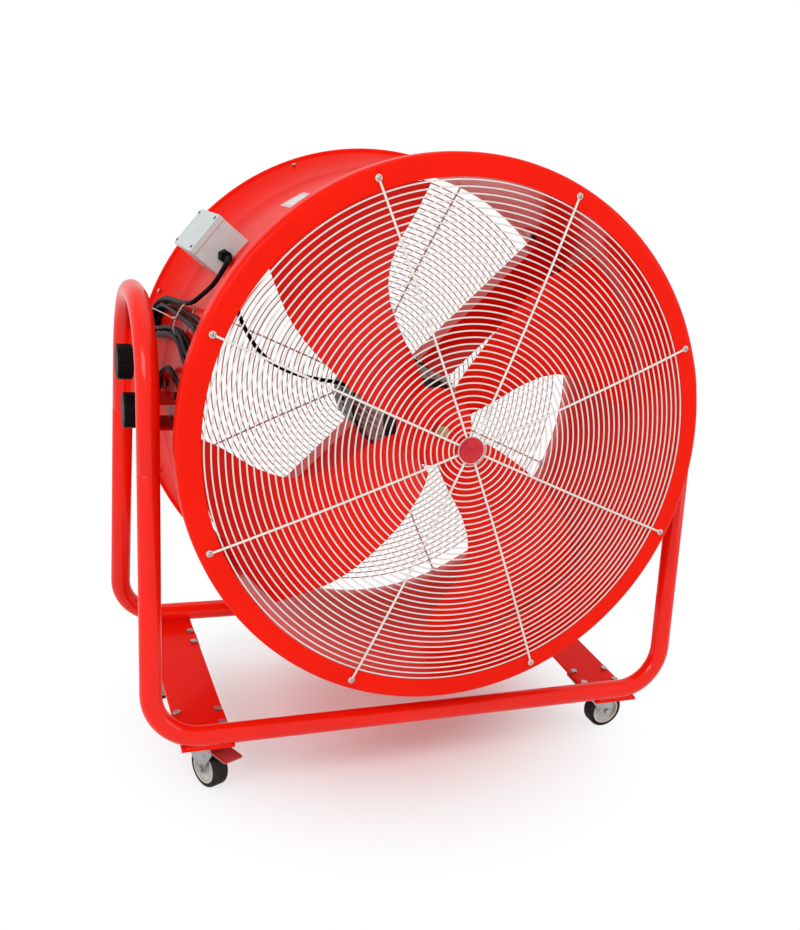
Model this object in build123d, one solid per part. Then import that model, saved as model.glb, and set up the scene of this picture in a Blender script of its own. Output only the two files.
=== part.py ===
from build123d import *
import math
import os

os.makedirs("parts", exist_ok=True)

# A wheeled drum fan: a tilting drum hung between two tube hoops on a four-caster stand.
# Millimetres, +Z up, front of the fan towards -Y, origin on the floor under the middle.

# ---- stand ------------------------------------------------------------------
TUBE_R = 19.0
TUBE_WALL = 2.0
HOOP_X = 520.0            # centre plane of each hoop
RAIL_Z = 142.0            # floor to rail centre
RAIL_Y = 255.0            # rail centre from the middle
LEG_LEAN = 0.125          # inward travel of a leg for each millimetre of height
SEAM_HEIGHT = 478.0       # rail centre to the joint between base tube and hoop
HOOP_HEIGHT = 738.0       # rail centre to the top of the hoop
CORNER_R = 90.0
HOOP_BEND_R = 160.0
PIVOT_HEIGHT = 531.0      # rail centre to the drum's pivot
PLATE_THICK = 6.0
PIVOT_PLATE_X = 510.0     # middle of the pivot plate's thickness
PIVOT_PLATE_BELOW = 47.0
PIVOT_PLATE_ABOVE = 115.0
SLOT_HALF_ANGLE = 30.0
LOCK_R = 87.0             # lock knob from the pivot
CASTER_PLATE_X = 421.0
CASTER_PLATE_WIDTH = 94.0
CASTER_PLATE_OVERHANG = 10.0

# ---- casters ----------------------------------------------------------------
CASTER_Y = 165.0
BOLT_X = 75.0             # caster bolt pattern across the plate
BOLT_Y = 50.0
BOLT_R = 4.0
BOLT_HOLE_R = 4.25
BOLT_HEAD_R = 7.4
BOLT_HEAD = 5.3
CASTER_TOP_X = 100.0
CASTER_TOP_Y = 76.0
CASTER_TOP_THICK = 3.0
CASTER_TOP_ROUND = 8.0
RACE_R = 28.0
RACE_DEPTH = 6.0
KINGPIN_R = 6.0
KINGPIN_HEAD_R = 9.5
KINGPIN_HEAD = 3.0
FORK_SHEET = 2.5
FORK_GAP = 35.0           # between the fork's two cheeks
CROWN_REAR = 22.0         # crown's edges from the swivel axis
CROWN_FRONT = 26.0
BRAKE_CROWN_FRONT = 40.0
CHEEK_SHOULDER = 18.0
CHEEK_HALF = 12.0         # cheek's half width at the axle
CHEEK_BELOW = 12.0
AXLE_HEAD = 4.0
AXLE_NUT = 5.0
CASTER_TRAIL = 36.0
WHEEL_R = 40.0
WHEEL_WIDTH = 30.0
TREAD = 9.0
WHEEL_BOSS_R = 11.0
AXLE_R = 4.0
BRAKE_PIN_R = 2.5
BRAKE_OUT = 58.0          # brake pin from the swivel axis
BRAKE_Z = 87.0
BRAKE_EAR = 7.0           # fork's metal beyond the brake pin
PEDAL_BARREL_R = 5.0
PEDAL_THICK = 3.0
PEDAL_ROUND = 4.0
PEDAL_LENGTH = 44.0
PEDAL_WIDTH = 40.0
PEDAL_GAP = 1.0           # fork's edge to the pedal's tread
CASTERS = {               # side, end, heading of the wheel in degrees, brake
    "front_left": (-1, -1, 24.8, True),
    "front_right": (1, -1, 95.0, False),
    "rear_left": (-1, 1, -48.7, False),
    "rear_right": (1, 1, 150.0, True),
}

# ---- drum -------------------------------------------------------------------
DRUM_TILT = 4.2           # front tipped up at rest
BORE_R = 450.0
SHEET = 2.0
RIM_R = 489.0
RIM_ROUND = 11.0
HALF_DEPTH = 281.0
RIM_LIP = 36.0
COLLAR = 24.0
FLARE_START = 150.0       # middle of the drum to where the rear flare begins
BEAD_R = 4.0
GUARD_REACH = 324.0       # middle of the drum to the outer face of either guard
DISC_THICK = 2.5
BADGE_R = 25.0
BADGE_RING_R = 30.0
RING_WIRE_R = 1.5
RING_SIDES = 6            # few faces on so many rings
SPOKE_WIRE_R = 2.0
WELD_BITE = 0.3
RING_EDGE_GAP = 15.0
RING_PITCH = 11.0
FIRST_RING_R = 39.0
SPOKES = 8
SPOKE_START_ANGLE = 22.5
SCREW_CIRCLE_R = 470.0
EYELET_R = 6.0
EYELET_THICK = 3.0
EYELET_BITE = 1.0         # spoke's end inside its eyelet
REAR_SCREW_Y = 262.0
SCREW_R = 3.0
SCREW_HEAD_R = 4.5
SCREW_HEAD = 3.5
SCREW_GRIP = 8.0
TAB = 14.0

# ---- motor and impeller -------------------------------------------------------
MOTOR_R = 80.0
FIN_TALL = 11.0
FIN_THICK = 2.6
FINS = 36
FRAME_FRONT = -75.0
FRAME_REAR = 175.0
MOTOR_WALL = 6.0
SHIELD_NOSE = 24.0
SHIELD_THICK = 8.0
BEARING_HOUSING = 8.0     # wall round each bearing
SHIELD_BORE_GAP = 2.0     # shaft to the front shield's bore
COWL_REAR = 235.0
COWL_R = 88.0
COWL_WALL = 2.0
COWL_LAP = 6.0            # cowl over the rear shield
GRILLE_BORE_R = 18.0
GRILLE_SLOTS = 12
GRILLE_SLOT = 5.0
SHAFT_R = 12.0
SHAFT_FRONT = -186.0
BEARING_R = 26.0
BEARING_WIDTH = 15.0
ROTOR_R = 48.0
AIR_GAP = 0.6
STATOR_LENGTH = 110.0
STATOR_Y = 82.5           # middle of the windings
WINDING_OUT = 16.0        # winding heads beyond the core
COOLER_R = 70.0
COOLER_HUB_R = 26.0
COOLER_LONG = 22.0
COOLER_GAP = 4.0
COOLER_SHEET = 3.0
COOLER_VANES = 6
STRAP_WIDTH = 50.0
STRAP_THICK = 5.0
STRAP_GAP = 0.1
STRUT_FRONT = 73.0
STRUT_WIDTH = 70.0
STRUT_SHEET = 4.0
STRUT_ANGLE = 45.0
FOOT_LENGTH = 120.0
FOOT_MARGIN = 8.0         # foot beyond the arm, along the drum
FOOT_BOLT_GAP = 90.0
IMPELLER_Y = -140.0       # middle of the hub's disc
TIP_GAP = 12.0
BLADES = 4
BLADE_THICK = 3.0
BLADE_HEADING = 35.0
PITCH_TIP = 4.0
PITCH_ROOT = 36.0
HUB_DISC_R = 74.0
HUB_DISC = 10.0
HUB_BOSS_R = 25.0
HUB_BOSS_FRONT = -158.0
HUB_BOSS_BEHIND = 6.0
HUB_BOLT_CIRCLE_R = 52.0
# blade outline: distance out from the axis, low edge, high edge, across the heading
BLADE_OUTLINE = (
    (62.0, -30.0, 66.0),
    (80.0, -36.0, 80.0),
    (100.0, -39.0, 90.0),
    (130.0, -42.0, 102.0),
    (165.0, -43.0, 114.0),
    (200.0, -46.0, 121.0),
    (235.0, -54.0, 126.0),
    (265.0, -68.0, 129.0),
    (290.0, -90.0, 130.0),
    (315.0, -126.0, 129.0),
    (340.0, -185.0, 125.0),
    (370.0, -236.0, 117.0),
    (405.0, -248.0, 107.0),
    (446.0, -252.0, 94.0),
)

# ---- side hardware -------------------------------------------------------------
BRACKET_X = 498.0         # outer face of the drum's side bracket
BRACKET_SHEET = 4.0
BRACKET_HALF_Y = 60.0
BRACKET_ROUND = 18.0
BRACKET_BELOW = 38.0
BRACKET_ABOVE = 108.0
GUSSET_Z = 25.0
GUSSET_SHEET = 4.0
GUSSET_HALF_Y = 75.0
STUD_R = 8.0
LOCK_STUD_R = 6.0
SLOT_CLEAR = 0.5
COLLAR_R = 20.0
LOCK_COLLAR_R = 13.0
FACE_GAP = 0.3            # between flat faces that slide on each other
RUNNING_GAP = 0.05        # radial, pins and shafts that turn
PIVOT_KNOB_R = 32.0
PIVOT_KNOB_THICK = 27.0
LOCK_KNOB_R = 31.0
LOCK_KNOB_THICK = 27.0
LOCK_BOSS_R = 13.5
LOCK_BOSS = 10.0
KNOB_LOBES = 8
KNOB_LOBE_R = 5.0

# ---- electrics ------------------------------------------------------------------
BOX_ANGLE = 142.0
BOX_FRONT = -30.0
BOX_LENGTH = 178.0
BOX_WIDTH = 80.0
BOX_TALL = 52.0
LID_TALL = 12.0
BOX_WALL = 3.0
LABEL_ANGLE = 122.0
LABEL_Y = -15.0
LABEL_LONG = 108.0
LABEL_WIDE = 48.0
LABEL_THICK = 0.8
CORD_R = 4.25
LEAD_R = 4.0
GLAND_R = 10.0
GLAND_LONG = 22.0
GLAND_ANGLE = 143.0
GLAND_OUT = 466.0         # gland centre from the drum's axis
TIE_R = 1.2
PLUG_LONG = 46.0
PLUG_WIDE = 38.0
PLUG_THICK = 26.0
PLUG_NECK = 8.0
PLUG_ROUND = 5.0
PLUG_Y = 130.0
PIN_R = 2.4
PIN_LONG = 19.0
GROMMET_Y = 70.0
GROMMET_NECK_R = 7.0
GROMMET_FLANGE_R = 10.0
LEAD_BOSS_ANGLE = 160.0
LEAD_BOSS_Y = 45.0
LEAD_BOSS_R = 9.0
LEAD_BOSS_OUT = 106.0

# ---- hank of supply cord on the drum's side ---------------------------------------
HANK_Y = 10.0
HANK_ANGLE = 160.0
HANK_FRONT = 205.0        # outer turn, from the waist to the front end
HANK_REAR = 225.0
HANK_HALF_WIDTH = 42.0
HANK_WAIST = 17.0
HANK_STEP = 12.5          # from one turn to the next at the ends
HANK_WAIST_STEP = 10.5
HANK_LAYER = 10.0
HANK_DROOP = 26.0
HANK_SKIN_GAP = 3.0
WAIST_BEND_R = 120.0
TIE_GAP = 0.3
TIE_BEAD_R = 4.0

PIVOT_Z = RAIL_Z + PIVOT_HEIGHT
DRUM_R = BORE_R + SHEET
PLATE_TOP = RAIL_Z - TUBE_R
PLATE_BOTTOM = PLATE_TOP - PLATE_THICK
CASTER_TOP_BOTTOM = PLATE_BOTTOM - CASTER_TOP_THICK
RACE_BOTTOM = CASTER_TOP_BOTTOM - RACE_DEPTH
CROWN_TOP = RACE_BOTTOM - FACE_GAP
CROWN_BOTTOM = CROWN_TOP - FORK_SHEET
PLATE_OUTER_X = PIVOT_PLATE_X + PLATE_THICK / 2
PLATE_INNER_X = PIVOT_PLATE_X - PLATE_THICK / 2


def save(shape, node):
    export_step(shape, f"parts/{node}.step")


def group(solids):
    return Compound(children=list(solids))


def rod(radius, start, end):
    start = Vector(*start)
    end = Vector(*end)
    run = end - start
    return Solid.make_cylinder(radius, run.length, Plane(origin=start, z_dir=run))


def pipe(outer, inner, start, end):
    return rod(outer, start, end) - rod(inner, start, end)


def hexagon(radius, start, end):
    run = Vector(*end) - Vector(*start)
    face = Plane(origin=start, z_dir=run) * RegularPolygon(radius, 6)
    return extrude(face, amount=run.length, dir=run.normalized())


def block(low, high):
    size = [b - a for a, b in zip(low, high)]
    middle = [(a + b) / 2 for a, b in zip(low, high)]
    return Pos(*middle) * Box(*size)


def swept(radius, path):
    section = Plane(origin=path @ 0, z_dir=path % 0) * Circle(radius)
    return sweep(section, path)


def turned(points):
    """A solid of revolution about the Y axis from (radius, y) points."""
    return revolve(make_face(Polyline(*points, close=True)), Axis.Y)


def mirrored(shape):
    return mirror(shape, about=Plane.YZ)


def placed(shape):
    """From the drum's own frame, axis along Y through its middle, to the fan's frame."""
    return Pos(0, 0, PIVOT_Z) * Rot(-DRUM_TILT, 0, 0) * shape


# ---- stand ---------------------------------------------------------------------
def leg_y(height):
    return RAIL_Y - LEG_LEAN * height


def base_path(side):
    top = leg_y(SEAM_HEIGHT)
    return FilletPolyline(
        (-HOOP_X, side * top, RAIL_Z + SEAM_HEIGHT),
        (-HOOP_X, side * RAIL_Y, RAIL_Z),
        (HOOP_X, side * RAIL_Y, RAIL_Z),
        (HOOP_X, side * top, RAIL_Z + SEAM_HEIGHT),
        radius=CORNER_R,
    )


def hoop_path(side):
    low = leg_y(SEAM_HEIGHT)
    high = leg_y(HOOP_HEIGHT)
    return FilletPolyline(
        (side * HOOP_X, -low, RAIL_Z + SEAM_HEIGHT),
        (side * HOOP_X, -high, RAIL_Z + HOOP_HEIGHT),
        (side * HOOP_X, high, RAIL_Z + HOOP_HEIGHT),
        (side * HOOP_X, low, RAIL_Z + SEAM_HEIGHT),
        radius=HOOP_BEND_R,
    )


def bent_tube(path):
    return swept(TUBE_R, path) - swept(TUBE_R - TUBE_WALL, path)


def arc_slot(radius, half_width, half_angle):
    """A slot on a circle about the pivot, cut through the pivot plate along X."""
    ends = [Vector(0, radius * math.sin(math.radians(a)), radius * math.cos(math.radians(a)))
            for a in (-half_angle, half_angle)]
    path = ThreePointArc(ends[0], (0, 0, radius), ends[1])
    depth = PLATE_THICK * 2
    band = Plane.YZ * (Circle(radius + half_width) - Circle(radius - half_width))
    wedge = Plane.YZ * make_face(Polyline(
        (0, 0),
        (2 * ends[0].Y, 2 * ends[0].Z),
        (2 * ends[1].Y, 2 * ends[1].Z),
        close=True,
    ))
    slot = extrude(band & wedge, amount=depth / 2, both=True)
    for end in (path @ 0, path @ 1):
        slot += rod(half_width, (-depth / 2, end.Y, end.Z), (depth / 2, end.Y, end.Z))
    return slot


def pivot_plate(side):
    low = PIVOT_HEIGHT - PIVOT_PLATE_BELOW
    high = PIVOT_HEIGHT + PIVOT_PLATE_ABOVE
    outline = make_face(Polyline(
        (-leg_y(low), RAIL_Z + low),
        (-leg_y(high), RAIL_Z + high),
        (leg_y(high), RAIL_Z + high),
        (leg_y(low), RAIL_Z + low),
        close=True,
    ))
    plate = extrude(Plane.YZ * outline, amount=PLATE_THICK / 2, both=True)
    plate -= Pos(0, 0, PIVOT_Z) * arc_slot(LOCK_R, LOCK_STUD_R + SLOT_CLEAR, SLOT_HALF_ANGLE)
    plate -= rod(STUD_R + RUNNING_GAP, (-PLATE_THICK, 0, PIVOT_Z), (PLATE_THICK, 0, PIVOT_Z))
    return Pos(side * PIVOT_PLATE_X, 0, 0) * plate - swept(TUBE_R, hoop_path(side))


def caster_spots():
    return [(side * CASTER_PLATE_X, end * CASTER_Y) for side, end, _, _ in CASTERS.values()]


def bolt_spots(x, y):
    return [(x + i * BOLT_X / 2, y + j * BOLT_Y / 2) for i in (-1, 1) for j in (-1, 1)]


def bolt_holes(top, bottom):
    return [rod(BOLT_HOLE_R, (bx, by, bottom - 1), (bx, by, top + 1))
            for x, y in caster_spots() for bx, by in bolt_spots(x, y)]


def caster_plate(side):
    half = CASTER_PLATE_WIDTH / 2
    reach = RAIL_Y + CASTER_PLATE_OVERHANG
    x = side * CASTER_PLATE_X
    return block((x - half, -reach, PLATE_BOTTOM), (x + half, reach, PLATE_TOP))


def caster_top(x, y):
    top = Pos(x, y, PLATE_BOTTOM - CASTER_TOP_THICK / 2) * Box(CASTER_TOP_X, CASTER_TOP_Y, CASTER_TOP_THICK)
    top = fillet(top.edges().filter_by(Axis.Z), radius=CASTER_TOP_ROUND)
    top += rod(RACE_R, (x, y, RACE_BOTTOM), (x, y, CASTER_TOP_BOTTOM))
    head_top = CROWN_BOTTOM - FACE_GAP
    top += rod(KINGPIN_R, (x, y, head_top), (x, y, RACE_BOTTOM))
    top += rod(KINGPIN_HEAD_R, (x, y, head_top - KINGPIN_HEAD), (x, y, head_top))
    return top


def caster_bolt(x, y):
    bolt = rod(BOLT_R, (x, y, CASTER_TOP_BOTTOM), (x, y, PLATE_TOP))
    bolt += hexagon(BOLT_HEAD_R, (x, y, PLATE_TOP), (x, y, PLATE_TOP + BOLT_HEAD))
    bolt += hexagon(BOLT_HEAD_R, (x, y, CASTER_TOP_BOTTOM - BOLT_HEAD), (x, y, CASTER_TOP_BOTTOM))
    return bolt


def make_stand():
    save(bent_tube(base_path(-1)), "front_base_tube")
    save(bent_tube(base_path(1)), "rear_base_tube")
    save(bent_tube(hoop_path(-1)), "left_hoop")
    save(bent_tube(hoop_path(1)), "right_hoop")
    save(group([pivot_plate(-1), pivot_plate(1)]), "pivot_plates")
    holes = bolt_holes(PLATE_TOP, CASTER_TOP_BOTTOM)
    save(group([caster_plate(side) - holes for side in (-1, 1)]), "caster_plates")
    save(group([caster_top(x, y) - holes for x, y in caster_spots()]), "caster_top_plates")
    save(group([caster_bolt(bx, by) for x, y in caster_spots() for bx, by in bolt_spots(x, y)]), "caster_bolts")


# ---- casters, each made with its swivel axis on Z and its wheel towards -Y -----------
def fork_cheek(x, brake):
    outline = [
        (CROWN_REAR, CROWN_TOP),
        (CROWN_REAR + 2, CROWN_TOP - CHEEK_SHOULDER),
        (-CASTER_TRAIL + CHEEK_HALF, WHEEL_R - 4),
        (-CASTER_TRAIL, WHEEL_R - CHEEK_BELOW),
        (-CASTER_TRAIL - CHEEK_HALF, WHEEL_R - 4),
        (-CASTER_TRAIL - 14, WHEEL_R + 14),
        (-34, CROWN_TOP - 12),
        (-CROWN_FRONT, CROWN_TOP),
    ]
    if brake:
        outline[6:] = [(-BRAKE_OUT - BRAKE_EAR, BRAKE_Z - 8), (-BRAKE_OUT - BRAKE_EAR, BRAKE_Z + 6),
                       (-BRAKE_CROWN_FRONT, CROWN_TOP)]
    cheek = extrude(Plane.YZ * make_face(Polyline(*outline, close=True)), amount=FORK_SHEET)
    return Pos(x, 0, 0) * cheek


def fork(brake):
    half = FORK_GAP / 2
    reach = BRAKE_CROWN_FRONT if brake else CROWN_FRONT
    crown = block((-half - FORK_SHEET, -reach, CROWN_BOTTOM), (half + FORK_SHEET, CROWN_REAR, CROWN_TOP))
    crown += rod(RACE_R - 1, (0, 0, CROWN_BOTTOM), (0, 0, CROWN_TOP))
    body = crown + fork_cheek(half, brake) + fork_cheek(-half - FORK_SHEET, brake)
    body -= rod(KINGPIN_R + RUNNING_GAP, (0, 0, CROWN_BOTTOM - 1), (0, 0, CROWN_TOP + 1))
    wide = FORK_GAP
    axis_y = -CASTER_TRAIL
    body -= rod(AXLE_R, (-wide, axis_y, WHEEL_R), (wide, axis_y, WHEEL_R))
    if brake:
        body -= rod(BRAKE_PIN_R + RUNNING_GAP, (-wide, -BRAKE_OUT, BRAKE_Z), (wide, -BRAKE_OUT, BRAKE_Z))
    return body


def axle():
    half = FORK_GAP / 2 + FORK_SHEET
    y = -CASTER_TRAIL
    pin = rod(AXLE_R, (-half, y, WHEEL_R), (half, y, WHEEL_R))
    pin += hexagon(BOLT_HEAD_R, (-half - AXLE_HEAD, y, WHEEL_R), (-half, y, WHEEL_R))
    pin += hexagon(BOLT_HEAD_R, (half, y, WHEEL_R), (half + AXLE_NUT, y, WHEEL_R))
    return pin


def wheel_hub():
    half = WHEEL_WIDTH / 2
    rim = WHEEL_R - TREAD
    boss = FORK_GAP / 2 - FACE_GAP
    profile = turned([
        (AXLE_R + RUNNING_GAP, -boss), (WHEEL_BOSS_R, -boss), (WHEEL_BOSS_R, -half + 7), (rim - 5, -half + 5),
        (rim - 4, -half),
        (rim, -half), (rim, half), (rim - 4, half), (rim - 5, half - 5), (WHEEL_BOSS_R, half - 7),
        (WHEEL_BOSS_R, boss),
        (AXLE_R + RUNNING_GAP, boss),
    ])
    return Pos(0, -CASTER_TRAIL, WHEEL_R) * Rot(0, 0, 90) * profile


def tyre():
    half = WHEEL_WIDTH / 2
    rim = WHEEL_R - TREAD
    ring = turned([
        (rim, -half), (WHEEL_R - 3, -half), (WHEEL_R - 0.8, -half + 2.5), (WHEEL_R, -half + 7),
        (WHEEL_R, half - 7), (WHEEL_R - 0.8, half - 2.5), (WHEEL_R - 3, half), (rim, half),
    ])
    return Pos(0, -CASTER_TRAIL, WHEEL_R) * Rot(0, 0, 90) * ring


def brake_pedal():
    barrel_half = FORK_GAP / 2 - FACE_GAP
    pin_half = FORK_GAP / 2 + FORK_SHEET
    pedal = rod(PEDAL_BARREL_R, (-barrel_half, -BRAKE_OUT, BRAKE_Z), (barrel_half, -BRAKE_OUT, BRAKE_Z))
    pedal += rod(BRAKE_PIN_R, (-pin_half, -BRAKE_OUT, BRAKE_Z), (pin_half, -BRAKE_OUT, BRAKE_Z))
    neck = BRAKE_OUT + BRAKE_EAR + PEDAL_GAP
    pedal += block((-barrel_half, -neck, BRAKE_Z), (barrel_half, -BRAKE_OUT, BRAKE_Z + PEDAL_THICK))
    half = PEDAL_WIDTH / 2
    tread = block((-half, -neck - PEDAL_LENGTH, BRAKE_Z), (half, -neck, BRAKE_Z + PEDAL_THICK))
    return pedal + fillet(tread.edges().filter_by(Axis.Z), radius=PEDAL_ROUND)


def make_casters():
    for name, (side, end, heading, brake) in CASTERS.items():
        spot = Pos(side * CASTER_PLATE_X, end * CASTER_Y, 0) * Rot(0, 0, heading)
        save(group([spot * fork(brake), spot * axle()]), f"caster_fork_{name}")
        save(spot * wheel_hub(), f"wheel_hub_{name}")
        save(spot * tyre(), f"tyre_{name}")
        if brake:
            save(spot * brake_pedal(), f"brake_pedal_{name}")


# ---- drum ------------------------------------------------------------------------
def cylinder_shell():
    shell = pipe(DRUM_R, BORE_R, (0, -HALF_DEPTH + SHEET, 0), (0, FLARE_START, 0))
    return shell - strut_bolts() - grommet_hole()


def front_rim():
    outer = FilletPolyline((BORE_R, -HALF_DEPTH), (RIM_R, -HALF_DEPTH), (RIM_R, -HALF_DEPTH + RIM_LIP),
                           radius=RIM_ROUND)
    inner = FilletPolyline((RIM_R - SHEET, -HALF_DEPTH + RIM_LIP), (RIM_R - SHEET, -HALF_DEPTH + SHEET),
                           (BORE_R, -HALF_DEPTH + SHEET), radius=RIM_ROUND - SHEET)
    face = make_face([outer, Line(outer @ 1, inner @ 0), inner, Line(inner @ 1, outer @ 0)])
    rim = revolve(face, Axis.Y)
    rim += pipe(DRUM_R + SHEET, DRUM_R, (0, -HALF_DEPTH + SHEET, 0), (0, -HALF_DEPTH + SHEET + COLLAR, 0))
    return rim - guard_screws(-1)


def flare_radius():
    long = HALF_DEPTH - BEAD_R - FLARE_START
    rise = RIM_R - BEAD_R - DRUM_R
    return (long * long + rise * rise) / (2 * rise)


def flare_at(y):
    """Outer radius of the rear flare at this distance behind the middle."""
    bend = flare_radius()
    along = y - FLARE_START
    return DRUM_R + bend - math.sqrt(bend * bend - along * along)


def rear_rim():
    end = HALF_DEPTH - BEAD_R
    middle = (FLARE_START + end) / 2
    outer = ThreePointArc((DRUM_R, FLARE_START), (flare_at(middle), middle), (flare_at(end), end))
    inner = ThreePointArc((flare_at(end) - SHEET, end), (flare_at(middle) - SHEET, middle), (BORE_R, FLARE_START))
    face = make_face([outer, Line(outer @ 1, inner @ 0), inner, Line(inner @ 1, outer @ 0)])
    bead = Pos(RIM_R - BEAD_R, end) * Circle(BEAD_R)
    return revolve(face + bead, Axis.Y) - guard_screws(1)


def spoke_angles():
    return [SPOKE_START_ANGLE + i * 360 / SPOKES for i in range(SPOKES)]


def dome(radius, crown, edge_radius, edge_y):
    """Height of a guard's crown wire, a parabola from the middle to its edge."""
    return crown + (edge_y - crown) * (radius / edge_radius) ** 2


def guard_shape(side):
    """Crown and edge of a guard: wire middle at the centre, edge radius and edge height."""
    crown = GUARD_REACH - DISC_THICK - SPOKE_WIRE_R
    if side < 0:
        return crown, SCREW_CIRCLE_R - EYELET_R + EYELET_BITE, HALF_DEPTH + SPOKE_WIRE_R
    return crown, flare_at(REAR_SCREW_Y) - SHEET - TAB / 2, REAR_SCREW_Y


def flare_bore():
    """The space inside the rear flare, to its bead."""
    end = HALF_DEPTH - BEAD_R
    middle = (FLARE_START + end) / 2
    wall = ThreePointArc((BORE_R, FLARE_START), (flare_at(middle) - SHEET, middle), (flare_at(end) - SHEET, end))
    rest = Polyline(wall @ 1, (0, end), (0, FLARE_START), wall @ 0)
    return revolve(make_face([wall, rest]), Axis.Y)


def eyelet():
    face = -HALF_DEPTH
    return rod(EYELET_R, (SCREW_CIRCLE_R, face - EYELET_THICK, 0), (SCREW_CIRCLE_R, face, 0))


def screw_tab():
    half = TAB / 2
    reach = flare_at(REAR_SCREW_Y)
    tab = block((reach - TAB, REAR_SCREW_Y - half, -half), (reach + half, REAR_SCREW_Y + half, half))
    return tab & flare_bore()


def guard_spokes(side):
    crown, edge_radius, edge_y = guard_shape(side)
    inner = BADGE_R - 5
    middle = edge_radius / 2
    points = [(r, side * dome(r, crown, edge_radius, edge_y)) for r in (inner, middle, edge_radius)]
    spoke = swept(SPOKE_WIRE_R, ThreePointArc(*points))
    spoke += eyelet() if side < 0 else screw_tab()
    spoke -= guard_screw(side)
    return [Rot(0, -angle, 0) * spoke for angle in spoke_angles()]


def guard_rings(side):
    crown, edge_radius, edge_y = guard_shape(side)
    behind = SPOKE_WIRE_R + RING_WIRE_R - WELD_BITE
    count = int((edge_radius - RING_EDGE_GAP - FIRST_RING_R) / RING_PITCH) + 1
    radii = [BADGE_RING_R] + [FIRST_RING_R + i * RING_PITCH for i in range(count)]
    rings = []
    for radius in radii:
        y = side * (dome(radius, crown, edge_radius, edge_y) - behind)
        section = Pos(radius, y) * RegularPolygon(RING_WIRE_R, RING_SIDES, rotation=90)
        rings.append(revolve(section, Axis.Y))
    return rings


def guard_disc(side):
    face = side * GUARD_REACH
    return rod(BADGE_R, (0, face, 0), (0, face - side * DISC_THICK, 0))


def guard_screw(side):
    if side < 0:
        face = -HALF_DEPTH - EYELET_THICK
        head = rod(SCREW_HEAD_R, (SCREW_CIRCLE_R, face - SCREW_HEAD, 0), (SCREW_CIRCLE_R, face, 0))
        return head + rod(SCREW_R, (SCREW_CIRCLE_R, face, 0), (SCREW_CIRCLE_R, -HALF_DEPTH + SCREW_GRIP, 0))
    seat = flare_at(REAR_SCREW_Y + SCREW_HEAD_R)
    head = rod(SCREW_HEAD_R, (seat, REAR_SCREW_Y, 0), (seat + SCREW_HEAD, REAR_SCREW_Y, 0))
    return head + rod(SCREW_R, (seat - TAB, REAR_SCREW_Y, 0), (seat, REAR_SCREW_Y, 0))


def guard_screws(side):
    return [Rot(0, -angle, 0) * guard_screw(side) for angle in spoke_angles()]


def on_drum(angle):
    """A frame on the drum's skin: X outwards, Y along the drum, Z up round it."""
    return Rot(0, -angle, 0)


def rating_plate():
    skin = pipe(DRUM_R + LABEL_THICK, DRUM_R, (0, LABEL_Y - LABEL_LONG / 2, 0), (0, LABEL_Y + LABEL_LONG / 2, 0))
    return skin & on_drum(LABEL_ANGLE) * block((BORE_R - 20, -RIM_R, -LABEL_WIDE / 2), (RIM_R, RIM_R, LABEL_WIDE / 2))


# ---- motor and its strut --------------------------------------------------------------
def strut():
    hold = MOTOR_R + FIN_TALL + STRAP_GAP
    rear = STRUT_FRONT + STRAP_WIDTH
    ring = pipe(hold + STRAP_THICK, hold, (0, STRUT_FRONT, 0), (0, rear, 0))
    half = STRUT_WIDTH / 2
    arm = block((hold + 2, STRUT_FRONT, -half), (DRUM_R, STRUT_FRONT + STRUT_SHEET, half))
    for z in (-half, half - STRUT_SHEET):
        arm += block((hold + 2, STRUT_FRONT, z), (DRUM_R, rear, z + STRUT_SHEET))
    foot = pipe(BORE_R, BORE_R - STRUT_SHEET, (0, STRUT_FRONT - FOOT_MARGIN, 0),
                (0, rear + FOOT_MARGIN, 0))
    foot &= block((BORE_R - 60, STRUT_FRONT - FOOT_MARGIN, -FOOT_LENGTH / 2),
                  (BORE_R, rear + FOOT_MARGIN, FOOT_LENGTH / 2))
    arm = (arm & rod(BORE_R, (0, STRUT_FRONT, 0), (0, rear, 0))) + foot
    arm -= rod(hold, (0, STRUT_FRONT - 1, 0), (0, rear + 1, 0))
    arms = [Rot(0, -a, 0) * arm for a in (STRUT_ANGLE, STRUT_ANGLE + 180)]
    return ring + arms[0] + arms[1] - strut_bolts()


def skin_bolt(angle, y, inside):
    """A bolt through the drum's skin, square to it, with its head outside."""
    bolt = hexagon(BOLT_HEAD_R, (DRUM_R, y, 0), (DRUM_R + BOLT_HEAD, y, 0))
    bolt += rod(BOLT_R, (inside, y, 0), (DRUM_R, y, 0))
    bolt += hexagon(BOLT_HEAD_R, (inside - BOLT_HEAD, y, 0), (inside, y, 0))
    return on_drum(angle) * bolt


def strut_bolts():
    spread = math.degrees(FOOT_BOLT_GAP / 2 / BORE_R)
    y = STRUT_FRONT + STRAP_WIDTH / 2
    return [skin_bolt(end + i * spread, y, BORE_R - STRUT_SHEET)
            for end in (STRUT_ANGLE, STRUT_ANGLE + 180) for i in (-1, 1)]


def motor_frame():
    frame = pipe(MOTOR_R, MOTOR_R - MOTOR_WALL, (0, FRAME_FRONT, 0), (0, FRAME_REAR, 0))
    fin = block((MOTOR_R - 1, FRAME_FRONT + 4, -FIN_THICK / 2),
                (MOTOR_R + FIN_TALL, FRAME_REAR - 4, FIN_THICK / 2))
    frame += [Rot(0, i * 360 / FINS, 0) * fin for i in range(FINS)]
    frame += on_drum(LEAD_BOSS_ANGLE) * rod(LEAD_BOSS_R, (MOTOR_R - 1, LEAD_BOSS_Y, 0), (LEAD_BOSS_OUT, LEAD_BOSS_Y, 0))
    return frame - on_drum(LEAD_BOSS_ANGLE) * rod(LEAD_R, (MOTOR_R, LEAD_BOSS_Y, 0), (LEAD_BOSS_OUT, LEAD_BOSS_Y, 0))


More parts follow.
